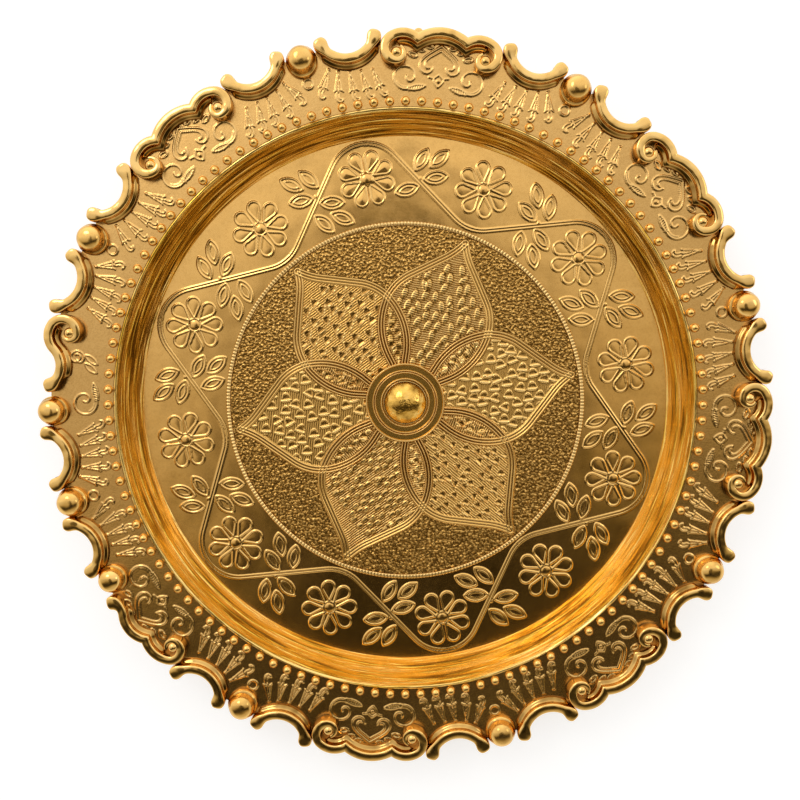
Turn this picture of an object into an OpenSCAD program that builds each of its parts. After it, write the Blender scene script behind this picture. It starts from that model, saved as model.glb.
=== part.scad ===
// Round brass thali plate with a deep well, an embossed floor, a chased centre
// medallion and a rim of cast scrolls, crests and balls.
// Millimetres, +Z up, origin at the middle of the underside. Angles run
// clockwise from +Y when the plate is seen from above.

/* [Pan] */
// Inside radius of the well at its floor
pan_floor_r = 115.1; // [111:0.1:117]
// Thickness of the spun sheet
sheet_t = 1.2; // [0.9:0.05:1.6]
// Depth of the hollow turned under the middle of the floor
recess_t = 0.5; // [0.35:0.05:0.8]
// Width of the flat ring that the plate rests on
rest_w = 20; // [10:0.5:30]
// Height of the wall's top edge above the floor of the pan
wall_rise = 17.6; // [14:0.1:22]
// How far the wall leans out from foot to top
wall_run = 5.4; // [3:0.1:8]
// Width of the lip that stands round the well
lip_w = 1.4; // [1:0.1:2]
// Height of the lip above the border plate
lip_proud = 0.4; // [0.2:0.05:0.8]
// Width of the pan's own flange, measured from the lip
pan_flange_w = 18; // [14:0.5:21]

/* [Floor plate] */
// Thickness of the embossed floor plate
floor_plate_t = 0.8; // [0.6:0.05:1.2]
// Gap between the floor plate and the wall's foot
floor_plate_gap = 0.3; // [0.1:0.05:0.6]
// Height of the embossed lines
emboss_h = 0.5; // [0.3:0.05:0.8]
// Width of the vine's stem
vine_w = 2; // [1.4:0.1:2.6]
// Bend radius of the vine where it dips towards the centre
vine_dip_r = 17; // [14:0.5:19]
// Bend radius of the vine where it arches over a flower
vine_arch_r = 16.4; // [15:0.1:18]
// Space between the arches of the vine and the plate's edge
vine_edge_gap = 1.1; // [0.6:0.1:2]
// Space between the dips of the vine and the milled ring
vine_ring_gap = 1; // [0.4:0.1:1.6]
// Number of vine waves, each with two flowers
vine_waves = 6; // [6]
// Angle of the first flower, under which the vine dips
flower_angle = 20.2; // [0:0.1:60]
// How far outside the middle of the floor's band the flowers stand
flower_shift = 1.2; // [0:0.1:2]
// Reach of a flower's petals from its middle
flower_r = 11.8; // [10:0.1:12.5]
// Radius of a flower's round centre
flower_eye_r = 2.7; // [2:0.1:3.2]
// Number of petals on a flower
flower_petals = 8; // [6:1:8]
// Radius of a petal's round end
petal_end_r = 2.8; // [2.2:0.1:3.1]
// Length of a leaf beside the vine
leaf_l = 10.6; // [8.5:0.1:11.4]
// Width of a leaf beside the vine
leaf_w = 5.2; // [4:0.1:5.8]

/* [Medallion] */
// Radius of the medallion plate
medallion_r = 76.3; // [73:0.1:77]
// Thickness of the medallion plate
medallion_t = 0.8; // [0.6:0.05:1.2]
// Number of star petals
star_petals = 6; // [6]
// Angle of the first star petal
star_angle = 20.6; // [0:0.1:60]
// Width of the star's ridges
star_ridge_w = 3; // [2:0.1:3.6]
// Width of the milled ring
milled_w = 1.9; // [1.4:0.1:2.4]
// Height of the milled ring
milled_h = 1.7; // [1.2:0.1:2.4]
// Number of nicks round the milled ring
milled_nicks = 360; // [180:20:360]
// Depth of a nick
milled_nick_t = 0.3; // [0.2:0.05:0.45]
// Side clearance of pieces that drop into one another
seat_gap = 0.1; // [0.05:0.01:0.2]

/* [Centre] */
// Outer radius of the ridged collar
collar_r = 17.3; // [15:0.1:20]
// Height of the collar's plain ground
collar_t = 1; // [0.7:0.05:1.5]
// Height of the ridges above the collar's ground
collar_ridge_h = 0.9; // [0.5:0.05:1.4]
// Width of a ridge at its foot
collar_ridge_w = 1.4; // [1:0.1:1.8]
// Radius of the centre boss
boss_r = 8.9; // [7:0.1:9.8]
// Height of the boss's dome
boss_rise = 5; // [3:0.1:7]
// Radius of the boss's shank
shank_r = 2.5; // [1.5:0.1:3.5]
// Radius of the rivet head under the pan
rivet_r = 4.2; // [3.8:0.1:6]
// Space between the rivet head and the surface the plate rests on
rivet_clear = 0.1; // [0.05:0.01:0.15]

/* [Border] */
// Thickness of the embossed border plate
border_t = 1; // [0.8:0.05:1.4]
// Distance from the well's top edge out to the middle of the rim balls
ball_ring_offset = 25; // [24:0.1:28]
// How far inside the balls' ring the border plate ends between the castings
border_inset = 0.5; // [0:0.1:2]
// Radius of a bead in the row round the well
bead_r = 1.95; // [1.5:0.05:2.2]
// Space between the bead row and the lip
bead_gap = 0.3; // [0.1:0.05:0.8]
// Number of beads
bead_count = 120; // [100:4:124]
// Inner radius of the small embossed rings beside the balls
ringlet_r = 1.7; // [1.2:0.1:2.2]
// Line width of the border's embossing
chasing_w = 0.9; // [0.6:0.05:1.1]
// Length of an embossed heart behind a crest
heart_l = 10.2; // [8:0.1:11]
// Radius of the embossed spirals beside a heart
curl_r = 4.2; // [3:0.1:4.6]
// Length of an embossed flute's drop
flute_l = 8; // [6:0.1:9]

/* [Castings] */
// Width of the scrolls' band
band_w = 3.7; // [3.2:0.1:4.4]
// Height of the castings above the border plate
band_h = 4.6; // [3.5:0.1:6]
// Bevel along the band's upper edges
band_bevel = 1.1; // [0.7:0.05:1.5]
// Width of the low step along the foot of the band
band_step_w = 1.2; // [0.8:0.1:1.5]
// Height of the low step
band_step_h = 1.5; // [1:0.1:2.2]
// Clearance between neighbouring castings
casting_gap = 0.6; // [0.3:0.05:0.9]
// Radius of the foot of a rim ball
ball_r = 6.4; // [5.8:0.1:6.8]
// Height of the foot of a rim ball
ball_foot_h = 2.4; // [1.5:0.1:3.5]
// Step from the foot in to the dome of a rim ball
ball_step_w = 0.8; // [0.5:0.1:1.2]
// Height of the dome's middle above the border plate
ball_lift = 2.6; // [1:0.1:4]
// Radius of the knob at each end of a C-shaped scroll
knob_r = 2.9; // [2.4:0.05:3.1]
// How much a knob stands above its band
knob_proud = 0.4; // [0.2:0.05:0.8]
// Distance of the C-scroll knobs outside the balls' ring
knob_offset = 3.7; // [3:0.1:5]
// How far a C-scroll's bend centre lies outside its knobs
scroll_open = 4.9; // [3.5:0.1:6]
// Radius of the round eye in a volute
eye_r = 2.4; // [2:0.05:2.8]
// Height of the crest's middle lobe outside the balls' ring
crest_rise = 5.1; // [3.5:0.1:6]
// Bend radius of the crest's middle lobe
crest_lobe_r = 16.7; // [15:0.1:18]
// Bend radius of the crest's side lobes
crest_side_r = 9.2; // [8.6:0.1:10]
// Bend radius of the crest's shoulders
crest_shoulder_r = 5; // [4.6:0.1:5.6]
// Bend radius of the volutes' curled ends
volute_r = 3; // [2.8:0.05:3.3]
// Radius of the small lug behind the top crest
lug_r = 2; // [1.6:0.1:2.4]

/* [Hidden] */
$fn = 64;
overrun = 1;
sink = 0.2;
taper = 0.1;
lap = 0.5;

// Heights
floor_z = recess_t + sheet_t;
plate_z = floor_z + floor_plate_t;
medallion_z = plate_z + medallion_t;
lip_z = floor_z + wall_rise;
border_z = lip_z - lip_proud;
flange_z = border_z - border_t;
boss_z = medallion_z + collar_t + collar_ridge_h;
band_top_z = border_z + band_h;

// Radii
wall_top_r = pan_floor_r + wall_run;
lip_r = wall_top_r + lip_w;
pan_flange_r = lip_r + pan_flange_w;
ring_inner_r = medallion_r + seat_gap;
ring_outer_r = ring_inner_r + milled_w;
plate_r = pan_floor_r - floor_plate_gap;
bead_ring_r = lip_r + bead_gap + bead_r;
ball_ring_r = wall_top_r + ball_ring_offset;
border_r = ball_ring_r - border_inset;
knob_ring_r = ball_ring_r + knob_offset;

// Where the rim balls sit. They were set by hand, so the eight spaces differ
// a little.
ball_angles = [-16.8, 28.3, 73.6, 118.5, 163.7, 208.5, 253.8, 298];
periods = len(ball_angles);
odd_a = 5;
odd_b = 6;
function next_ball_angle(k) =
    k < periods - 1 ? ball_angles[k + 1] : ball_angles[0] + 360;
function crest_angle(k) = (ball_angles[k] + next_ball_angle(k)) / 2;

/* Paths */

// A path is a list of [bend radius, turn] steps, or [0, 0, length] for a
// straight. A turn is positive to the left. The path starts at the origin
// along +X.
function step_end(s) =
    s[0] == 0 ? [s[2], 0, 0]
    : [s[0] * sin(abs(s[1])), sign(s[1]) * s[0] * (1 - cos(s[1])), 0];

// Each step's section is a little slimmer than the one before it, and starts
// a little inside it.
module band_path(steps, w, h, bevel, i = 0) {
    if (i < len(steps)) {
        s = steps[i];
        back = i == 0 ? 0 : lap;
        section = band_section(w, h, bevel);
        if (s[0] == 0)
            translate([-back, 0, 0])
                rotate([90, 0, 90])
                    linear_extrude(s[2] + back) polygon(section);
        else {
            back_angle = 180 * back / (PI * s[0]);
            translate([0, sign(s[1]) * s[0], 0])
                rotate([0, 0, s[1] > 0 ? -90 - back_angle : 90 + s[1]])
                    rotate_extrude(angle = abs(s[1]) + back_angle)
                        translate([s[0], 0]) polygon(section);
        }
        translate(step_end(s))
            rotate([0, 0, s[1]])
                band_path(steps, w - 2 * taper, h - taper, bevel, i + 1)
                    children();
    } else
        children();
}

// The middle of the curve that a path at p, heading h, takes to the right
function right_centre(p, h, r) = [p.x + r * sin(h), p.y - r * cos(h)];
function moved(p, h, s) =
    let (e = step_end(s))
    [p.x + e.x * cos(h) - e.y * sin(h), p.y + e.x * sin(h) + e.y * cos(h)];

// Bevelled band section, standing on its base line
function band_section(w, h, bevel) =
    [[w / 2, 0], [w / 2, h - bevel], [w / 2 - bevel, h],
     [bevel - w / 2, h], [-w / 2, h - bevel], [-w / 2, 0]];

/* Crests */

// Turns of the crest's band, from the top of the middle lobe
lobe_turn_angle = 36.5;
valley_angle = 35;
side_turn_angle = 75;
shoulder_turn_angle = 140;
curl_turn_angle = 90;
crest_top = ball_ring_r + crest_rise;
crest_valley = moved([0, crest_top], 0, [crest_lobe_r, -lobe_turn_angle]);
shoulder_start = moved(crest_valley, valley_angle,
                       [crest_side_r, -side_turn_angle]);
shoulder_centre = right_centre(shoulder_start, valley_angle - side_turn_angle,
                               crest_shoulder_r);

// The odd crest with one volute. It is drawn from its upturned knob, with the
// volute on the right, and mirrored in place.
a_dip_r = 6;
a_lobe_r = 11.5;
a_side_r = 12;
a_shoulder_r = 4.6;
a_knob_x = 14.4;
a_knob_rise = 4.4;
a_start_angle = -60;
a_dip_turn_angle = 95;
a_lobe_turn_angle = 75;
a_valley_angle = 25;
a_side_turn_angle = 65;
a_start = [-a_knob_x, ball_ring_r + a_knob_rise];
a_lobe_angle = a_start_angle + a_dip_turn_angle;
a_rise_end = moved(a_start, a_start_angle, [a_dip_r, a_dip_turn_angle]);
a_valley = moved(a_rise_end, a_lobe_angle, [a_lobe_r, -a_lobe_turn_angle]);
a_shoulder_start = moved(a_valley, a_valley_angle, [a_side_r, -a_side_turn_angle]);
a_shoulder_centre = right_centre(a_shoulder_start,
                                 a_valley_angle - a_side_turn_angle, a_shoulder_r);
a_ball_r = 6.1;
a_ball = [20.4, ball_ring_r - 3.2];

// The odd crest shaped as an S, drawn from its upturned knob
b_dip_r = 9.8;
b_lobe_r = 8;
b_shoulder_r = 5.6;
b_knob_x = 8;
b_knob_rise = 3.7;
b_start_angle = -68;
b_dip_turn_angle = 116;
b_lobe_turn_angle = 78;
b_shoulder_turn_angle = 150;
b_start = [-b_knob_x, ball_ring_r + b_knob_rise];
b_lobe_angle = b_start_angle + b_dip_turn_angle;
b_rise_end = moved(b_start, b_start_angle, [b_dip_r, b_dip_turn_angle]);
b_lobe_centre = right_centre(b_rise_end, b_lobe_angle, b_lobe_r);
b_shoulder_start = moved(b_rise_end, b_lobe_angle, [b_lobe_r, -b_lobe_turn_angle]);
b_shoulder_centre = right_centre(b_shoulder_start,
                                 b_lobe_angle - b_lobe_turn_angle, b_shoulder_r);
b_ball_r = 6.2;
b_ball = [-17.4, ball_ring_r];

/* C-scroll places */

// What bounds the slot of a C-scroll on a crest's left or right side, as
// [place, radius]
function crest_bound(k, side) =
    k == odd_a && side > 0 ? [a_ball, a_ball_r]
    : k == odd_a ? [[-a_shoulder_centre.x, a_shoulder_centre.y],
                    a_shoulder_r + band_w / 2]
    : k == odd_b && side < 0 ? [b_ball, b_ball_r]
    : k == odd_b ? [b_shoulder_centre, b_shoulder_r + band_w / 2]
    : [[side * shoulder_centre.x, shoulder_centre.y],
       crest_shoulder_r + band_w / 2];

// Angle that a knob on its ring keeps from a round neighbour
function clear_angle(c, r) =
    let (d = r + knob_r + casting_gap, a = norm(c), b = knob_ring_r)
    acos((a * a + b * b - d * d) / (2 * a * b));

function slot(k, side) =
    let (bound = crest_bound(k, side),
         half = (next_ball_angle(k) - ball_angles[k]) / 2,
         near = abs(atan2(bound[0].x, bound[0].y))
                + clear_angle(bound[0], bound[1]),
         far = half - clear_angle([0, ball_ring_r], ball_r))
    [side * near, side * far];

slots = [for (k = [0:periods - 1]) for (side = [-1, 1])
         [crest_angle(k), slot(k, side)]];
scroll_half_angle = min([for (s = slots) abs(s[1][1] - s[1][0]) / 2]);
function scroll_angle(i) = slots[i][0] + (slots[i][1][0] + slots[i][1][1]) / 2;
scroll_chord = knob_ring_r * sin(scroll_half_angle);
scroll_r = norm([scroll_chord, scroll_open]);
scroll_centre_r = knob_ring_r * cos(scroll_half_angle) + scroll_open;
scroll_sweep = 2 * acos(scroll_open / scroll_r);
scroll_step_sweep = 90;

/* Shared shapes */

// Turns its child clockwise from +Y
module at(angle) {
    rotate([0, 0, -angle]) children();
}

module ring_tube(outer, inner, h) {
    difference() {
        cylinder(h = h, r = outer);
        translate([0, 0, -overrun]) cylinder(h = h + 2 * overrun, r = inner);
    }
}

// Part of a ball above the level of its own origin
module ball_cap(r, lift) {
    difference() {
        translate([0, 0, lift]) sphere(r);
        translate([-r, -r, -2 * r]) cube([2 * r, 2 * r, 2 * r]);
    }
}

module knob() {
    h = band_h + knob_proud;
    cylinder(h = h - band_bevel, r = knob_r);
    translate([0, 0, h - band_bevel])
        cylinder(h = band_bevel, r1 = knob_r, r2 = knob_r - band_bevel);
}

module volute_eye() {
    translate([0, -volute_r, 0]) {
        cylinder(h = band_h - band_bevel, r = eye_r);
        translate([0, 0, band_h - band_bevel]) ball_cap(eye_r, 0);
    }
}

// Pointed leaf lying along +Y from the origin
module leaf(l, w) {
    r = (l * l + w * w) / (4 * w);
    translate([0, l / 2])
        intersection() {
            translate([r - w / 2, 0]) circle(r);
            translate([w / 2 - r, 0]) circle(r);
        }
}

// Drop shape with its point at the origin and its round end along +Y
module drop(l, r) {
    y = l - r;
    touch = acos(r / y);
    translate([0, y]) circle(r);
    polygon([[0, 0],
             [r * sin(touch), y - r * cos(touch)],
             [-r * sin(touch), y - r * cos(touch)]]);
}

/* Pan, floor and centre */

module base_pan() {
    wall_t = sheet_t * norm([wall_run, wall_rise]) / wall_rise;
    rest_r = pan_floor_r - sheet_t;
    color([0.80, 0.58, 0.22])
        difference() {
            rotate_extrude()
                polygon([
                    [0, recess_t],
                    [rest_r - rest_w - recess_t, recess_t],
                    [rest_r - rest_w, 0],
                    [rest_r, 0],
                    [pan_floor_r + wall_t, floor_z],
                    [wall_top_r + wall_t, flange_z - sheet_t],
                    [pan_flange_r, flange_z - sheet_t],
                    [pan_flange_r, flange_z],
                    [lip_r, flange_z],
                    [lip_r, lip_z],
                    [wall_top_r, lip_z],
                    [pan_floor_r, floor_z],
                    [0, floor_z]
                ]);
            cylinder(h = lip_z, r = shank_r + seat_gap);
        }
}

// The vine runs straight between its dips and arches
dip_centre_r = ring_outer_r + vine_ring_gap + vine_w / 2 + vine_dip_r;
arch_centre_r = plate_r - vine_edge_gap - vine_w / 2 - vine_arch_r;
flower_ring_r = (ring_outer_r + plate_r) / 2 + flower_shift;
half_wave = 180 / vine_waves;
dip_centre = [0, dip_centre_r];
arch_centre = arch_centre_r * [sin(half_wave), cos(half_wave)];
vine_lean = let (d = arch_centre - dip_centre)
    atan2(d.y, d.x) + asin((vine_dip_r + vine_arch_r) / norm(d));
vine_straight = sqrt(pow(norm(arch_centre - dip_centre), 2)
                     - pow(vine_dip_r + vine_arch_r, 2));
dip_end = dip_centre + vine_dip_r * [sin(vine_lean), -cos(vine_lean)];

module vine_bend(r, half_sweep) {
    rotate([0, 0, -90 - half_sweep])
        rotate_extrude(angle = 2 * half_sweep)
            translate([r, 0])
                polygon(band_section(vine_w, emboss_h + sink, emboss_h / 2));
}

module vine_wave() {
    translate([0, dip_centre_r]) vine_bend(vine_dip_r, vine_lean);
    at(half_wave)
        translate([0, arch_centre_r])
            rotate([0, 0, 180])
                vine_bend(vine_arch_r, vine_lean + half_wave);
    for (side = [0, 1])
        mirror([side, 0, 0])
            translate(dip_end)
                rotate([0, 0, vine_lean])
                    translate([-lap, 0, 0])
                        band_path([[0, 0, vine_straight + 2 * lap]],
                                  vine_w - taper, emboss_h + sink - taper,
                                  emboss_h / 2);
}

// Where a sprig stands between two flowers, and its leaves' feet as shares of
// a leaf's length: [along, out, angle]
sprig_share = 0.42;
outer_leaf_shares = [[0.27, 0.39, -42], [0.85, 0.18, -24],
                     [0.46, -0.13, -75]];
inner_leaf_shares = [[0.61, -0.43, 114], [0.19, -0.79, 156],
                     [0.82, -1.01, 137]];

module sprig(leaves) {
    for (s = leaves)
        translate([s[0] * leaf_l, s[1] * leaf_l])
            rotate([0, 0, -s[2]])
                linear_extrude(emboss_h + sink) leaf(leaf_l, leaf_w);
}

module flower() {
    h = emboss_h + sink;
    cylinder(h = h, r = flower_eye_r);
    for (i = [0:flower_petals - 1])
        rotate([0, 0, 360 * (i + 0.5) / flower_petals])
            translate([0, flower_eye_r])
                linear_extrude(h) drop(flower_r - flower_eye_r, petal_end_r);
}

module floor_relief() {
    for (k = [0:vine_waves - 1])
        at(flower_angle + 2 * half_wave * k) {
            vine_wave();
            for (side = [-1, 1]) {
                // one sprig has lost two of its inner leaves
                inner = k == 0 && side < 0
                    ? [inner_leaf_shares[0]] : inner_leaf_shares;
                at(side * sprig_share * half_wave)
                    translate([0, flower_ring_r])
                        mirror([side < 0 ? 1 : 0, 0, 0])
                            sprig(concat(outer_leaf_shares, inner));
            }
            for (half = [0, 1])
                at(half * half_wave)
                    translate([0, flower_ring_r]) flower();
        }
}

module floor_plate() {
    color([0.83, 0.62, 0.28])
        difference() {
            union() {
                translate([0, 0, floor_z])
                    cylinder(h = floor_plate_t, r = plate_r);
                difference() {
                    translate([0, 0, plate_z - sink]) floor_relief();
                    cylinder(h = lip_z, r = ring_outer_r + seat_gap);
                }
            }
            cylinder(h = lip_z, r = shank_r + seat_gap);
        }
}

// A star petal's side from its tip to the collar: bends and straights as
// shares of the medallion's radius
star_tip_share = 0.962;
star_tip_angle = -65;
star_side_shares = [[0.417, 19], [0, 0, 0.218], [0.278, -44],
                    [0.389, -48], [0, 0, 0.11]];

module star_relief() {
    side = [for (s = star_side_shares)
            [s[0] * medallion_r, s[1], s[0] == 0 ? s[2] * medallion_r : 0]];
    for (k = [0:star_petals - 1])
        at(star_angle + 360 * k / star_petals)
            for (m = [0, 1])
                mirror([m, 0, 0])
                    translate([0, star_tip_share * medallion_r])
                        rotate([0, 0, star_tip_angle])
                            band_path(side, star_ridge_w, emboss_h + sink,
                                      emboss_h / 2);
}

module medallion_plate() {
    color([0.76, 0.56, 0.25])
        difference() {
            union() {
                translate([0, 0, plate_z])
                    cylinder(h = medallion_t, r = medallion_r);
                translate([0, 0, medallion_z - sink])
                    intersection() {
                        star_relief();
                        ring_tube(medallion_r, collar_r + seat_gap,
                                  emboss_h + sink);
                    }
            }
            cylinder(h = lip_z, r = shank_r + seat_gap);
        }
}

module milled_ring() {
    // half of the ring's height is plain, and the nicked half stands a
    // little inside its edge
    nicked = [for (i = [0:2 * milled_nicks - 1])
              let (a = 180 * i / milled_nicks,
                   r = ring_outer_r - taper - (i % 2) * milled_nick_t)
              r * [cos(a), sin(a)]];
    $fn = milled_nicks;
    color([0.88, 0.70, 0.36])
        translate([0, 0, plate_z])
            difference() {
                union() {
                    cylinder(h = milled_h / 2, r = ring_outer_r);
                    linear_extrude(milled_h) polygon(nicked);
                }
                translate([0, 0, -overrun])
                    cylinder(h = milled_h + 2 * overrun, r = ring_inner_r);
            }
}

module centre_collar() {
    bore = shank_r + seat_gap;
    outer = collar_r - collar_ridge_w;
    // the inmost ridge lies under the boss's edge
    ridges = [boss_r - collar_ridge_w / 2,
              (boss_r + outer) / 2, outer];
    color([0.78, 0.58, 0.26])
        translate([0, 0, medallion_z]) {
            ring_tube(collar_r, bore, collar_t);
            for (r = ridges)
                rotate_extrude()
                    polygon([
                        [r, 0],
                        [r + collar_ridge_w, 0],
                        [r + collar_ridge_w, collar_t],
                        [r + 2 * collar_ridge_w / 3, collar_t + collar_ridge_h],
                        [r + collar_ridge_w / 3, collar_t + collar_ridge_h],
                        [r, collar_t]
                    ]);
        }
}

module centre_boss() {
    dome_r = (boss_r * boss_r + boss_rise * boss_rise) / (2 * boss_rise);
    color([0.90, 0.68, 0.28]) {
        translate([0, 0, boss_z]) ball_cap(dome_r, boss_rise - dome_r);
        translate([0, 0, rivet_clear])
            cylinder(h = boss_z - rivet_clear + sink, r = shank_r);
        translate([0, 0, rivet_clear])
            cylinder(h = recess_t - rivet_clear, r = rivet_r);
    }
}

/* Border */

module scroll_bites() {
    for (i = [0:len(slots) - 1])
        at(scroll_angle(i))
            translate([0, scroll_centre_r]) circle(scroll_r);
    at(crest_angle(odd_b))
        translate([b_start.x, b_start.y])
            rotate([0, 0, b_start_angle])
                translate([0, b_dip_r]) circle(b_dip_r);
}

// What carries a crest: round lobes that end under the middle of its band
module crest_seat(k) {
    if (k == odd_a)
        mirror([1, 0]) {
            translate(right_centre(a_rise_end, a_lobe_angle, a_lobe_r))
                circle(a_lobe_r);
            translate(right_centre(a_valley, a_valley_angle, a_side_r))
                circle(a_side_r);
            translate([-a_ball.x, a_ball.y]) circle(a_ball_r / 2);
        }
    else if (k == odd_b) {
        translate(b_lobe_centre) circle(b_lobe_r);
        translate(b_ball) circle(b_ball_r / 2);
    } else {
        translate([0, crest_top - crest_lobe_r]) circle(crest_lobe_r);
        for (side = [0, 1])
            mirror([side, 0])
                translate(right_centre(crest_valley, valley_angle,
                                       crest_side_r))
                    circle(crest_side_r);
    }
}

module border_outline() {
    difference() {
        union() {
            circle(border_r);
            for (k = [0:periods - 1])
                at(crest_angle(k)) crest_seat(k);
        }
        scroll_bites();
        circle(lip_r + seat_gap);
    }
}

// Places of the border's embossing between the beads and the castings
chased_low_r = bead_ring_r + bead_r + chasing_w;
chased_high_r = ball_ring_r - ball_r;
chased_w = chased_high_r - chased_low_r;
heart_drop_share = 0.3;
curl_shares = [1.08, 0.54];
flute_hook_share = 0.17;

// Heart with its peak outward and its notch at the origin
module heart() {
    lobe_share = 0.36;
    linear_extrude(emboss_h + sink) {
        for (side = [-1, 1])
            translate(lobe_share * heart_l * [side, 1])
                circle(lobe_share * heart_l);
        polygon(heart_l * [[0, 1], [lobe_share, 2 * lobe_share],
                           [2 * lobe_share, lobe_share], [0, 0],
                           [-2 * lobe_share, lobe_share],
                           [-lobe_share, 2 * lobe_share]]);
    }
}

module arc_line(r, w, start, sweep) {
    rotate([0, 0, start])
        rotate_extrude(angle = sweep)
            translate([r - w / 2, 0]) square([w, emboss_h + sink]);
}

// C-shaped spiral with a leafy tail, on the right of a heart
module curl() {
    eye_share = 0.35;
    tail_angle = 82;
    arc_line(curl_r, chasing_w, -110, 270);
    translate([eye_share * curl_r, 0])
        cylinder(h = emboss_h + sink, r = eye_share * curl_r);
    translate([0, -curl_r])
        rotate([0, 0, tail_angle])
            linear_extrude(emboss_h + sink) leaf(2 * curl_r, curl_r / 2);
}

// Drop, knot and hook, with the knot at the origin and the point outward
module flute() {
    h = emboss_h + sink;
    knot_r = chasing_w;
    hook_r = flute_hook_share * flute_l;
    translate([0, flute_l])
        linear_extrude(h) rotate([0, 0, 180]) drop(flute_l, knot_r);
    translate([0, -knot_r / 2]) cylinder(h = h, r = knot_r);
    translate([0, -knot_r - hook_r])
        arc_line(hook_r, chasing_w, -100, 200);
}

// The five flutes under a C-scroll, counted from the ball: [angle as a share
// of the way to the crest, height as a share of the chased width, tilt]
flute_places = [[0.106, 0.55, 30], [0.215, 0.33, 10], [0.334, 0.25, -4],
                [0.441, 0.25, -13], [0.544, 0.29, -20]];

module border_relief() {
    for (a = ball_angles)
        at(a)
            translate([0, ball_ring_r - ball_r - ringlet_r - chasing_w])
                ring_tube(ringlet_r + chasing_w, ringlet_r, emboss_h + sink);
    for (k = [0:periods - 1]) {
        half = (next_ball_angle(k) - ball_angles[k]) / 2;
        for (side = [-1, 1])
            for (f = flute_places)
                at(crest_angle(k) + side * half * (1 - f[0]))
                    translate([0, chased_low_r + f[1] * chased_w])
                        mirror([side > 0 ? 1 : 0, 0, 0])
                            rotate([0, 0, -f[2]]) flute();
        if (k != odd_b)
            at(crest_angle(k)) {
                translate([0, chased_high_r - heart_drop_share * chased_w])
                    heart();
                for (side = [0, 1])
                    mirror([side, 0, 0])
                        translate([curl_shares.x * chased_w,
                                   chased_low_r + curl_shares.y * chased_w])
                            curl();
            }
    }
}

module border_plate() {
    color([0.82, 0.61, 0.27]) {
        translate([0, 0, flange_z]) linear_extrude(border_t) border_outline();
        translate([0, 0, border_z - sink]) border_relief();
    }
}

module rim_beads() {
    color([0.88, 0.66, 0.28])
        for (i = [0:bead_count - 1])
            at(360 * i / bead_count)
                translate([0, bead_ring_r, border_z]) ball_cap(bead_r, 0);
}

/* Castings */

// Low step along the foot of a band bent to radius r, on its inner side
module foot_step(r, start, sweep) {
    rotate([0, 0, start])
        rotate_extrude(angle = sweep)
            translate([r - band_w / 2 - band_step_w, 0])
                square([band_w / 2 + band_step_w, band_step_h]);
}

module c_scroll(i) {
    color([0.84, 0.62, 0.26])
        at(scroll_angle(i)) {
            translate([0, scroll_centre_r, border_z])
                rotate([0, 0, -90 - scroll_sweep / 2]) {
                    rotate_extrude(angle = scroll_sweep)
                        translate([scroll_r, 0])
                            polygon(band_section(band_w, band_h, band_bevel));
                    rotate([0, 0, (scroll_sweep - scroll_step_sweep) / 2])
                        rotate_extrude(angle = scroll_step_sweep)
                            translate([scroll_r, 0])
                                square([band_w / 2 + band_step_w,
                                        band_step_h]);
                }
            for (side = [-1, 1])
                translate([side * scroll_chord,
                           scroll_centre_r - scroll_open, border_z])
                    knob();
        }
}

module crest() {
    translate([0, crest_top - crest_lobe_r]) {
        rotate([0, 0, 90 - lobe_turn_angle])
            rotate_extrude(angle = 2 * lobe_turn_angle)
                translate([crest_lobe_r, 0])
                    polygon(band_section(band_w, band_h, band_bevel));
        foot_step(crest_lobe_r, 90 - lobe_turn_angle, 2 * lobe_turn_angle);
    }
    for (m = [0, 1])
        mirror([m, 0, 0]) {
            translate(crest_valley) rotate([0, 0, valley_angle])
                band_path([[crest_side_r, -side_turn_angle],
                           [crest_shoulder_r, -shoulder_turn_angle],
                           [volute_r, -curl_turn_angle]],
                          band_w - 2 * taper, band_h - taper, band_bevel)
                    volute_eye();
            translate(right_centre(crest_valley, valley_angle, crest_side_r))
                foot_step(crest_side_r, 90 + valley_angle - side_turn_angle,
                          side_turn_angle);
        }
}

module odd_crest_a() {
    mirror([1, 0, 0]) {
        translate(a_start) {
            rotate([0, 0, a_start_angle])
                band_path([[a_dip_r, a_dip_turn_angle], [a_lobe_r, -a_lobe_turn_angle]],
                          band_w, band_h, band_bevel);
            knob();
        }
        translate(a_valley) rotate([0, 0, a_valley_angle])
            band_path([[a_side_r, -a_side_turn_angle],
                       [a_shoulder_r, -shoulder_turn_angle],
                       [volute_r, -curl_turn_angle]],
                      band_w - 4 * taper, band_h - 2 * taper, band_bevel)
                volute_eye();
    }
}

module odd_crest_b() {
    translate(b_start) {
        rotate([0, 0, b_start_angle])
            band_path([[b_dip_r, b_dip_turn_angle], [b_lobe_r, -b_lobe_turn_angle],
                       [b_shoulder_r, -b_shoulder_turn_angle],
                       [volute_r, -curl_turn_angle]],
                      band_w, band_h, band_bevel) volute_eye();
        knob();
    }
}

module any_crest(k) {
    color([0.84, 0.62, 0.26])
        translate([0, 0, border_z])
            at(crest_angle(k)) {
                if (k == odd_a) odd_crest_a();
                else if (k == odd_b) odd_crest_b();
                else crest();
            }
}

// The eight balls of the ring, then the two that stand beside the odd crests
ball_places = concat(
    [for (a = ball_angles) [a, [0, ball_ring_r], ball_r]],
    [[crest_angle(odd_a), a_ball, a_ball_r],
     [crest_angle(odd_b), b_ball, b_ball_r]]);

module rim_ball(i) {
    place = ball_places[i];
    color([0.90, 0.66, 0.26])
        at(place[0])
            translate([place[1].x, place[1].y, border_z]) {
                cylinder(h = ball_foot_h / 2, r = place[2]);
                translate([0, 0, ball_foot_h / 2])
                    cylinder(h = ball_foot_h / 2, r1 = place[2],
                             r2 = place[2] - ball_step_w);
                ball_cap(place[2] - ball_step_w, ball_lift);
            }
}

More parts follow.
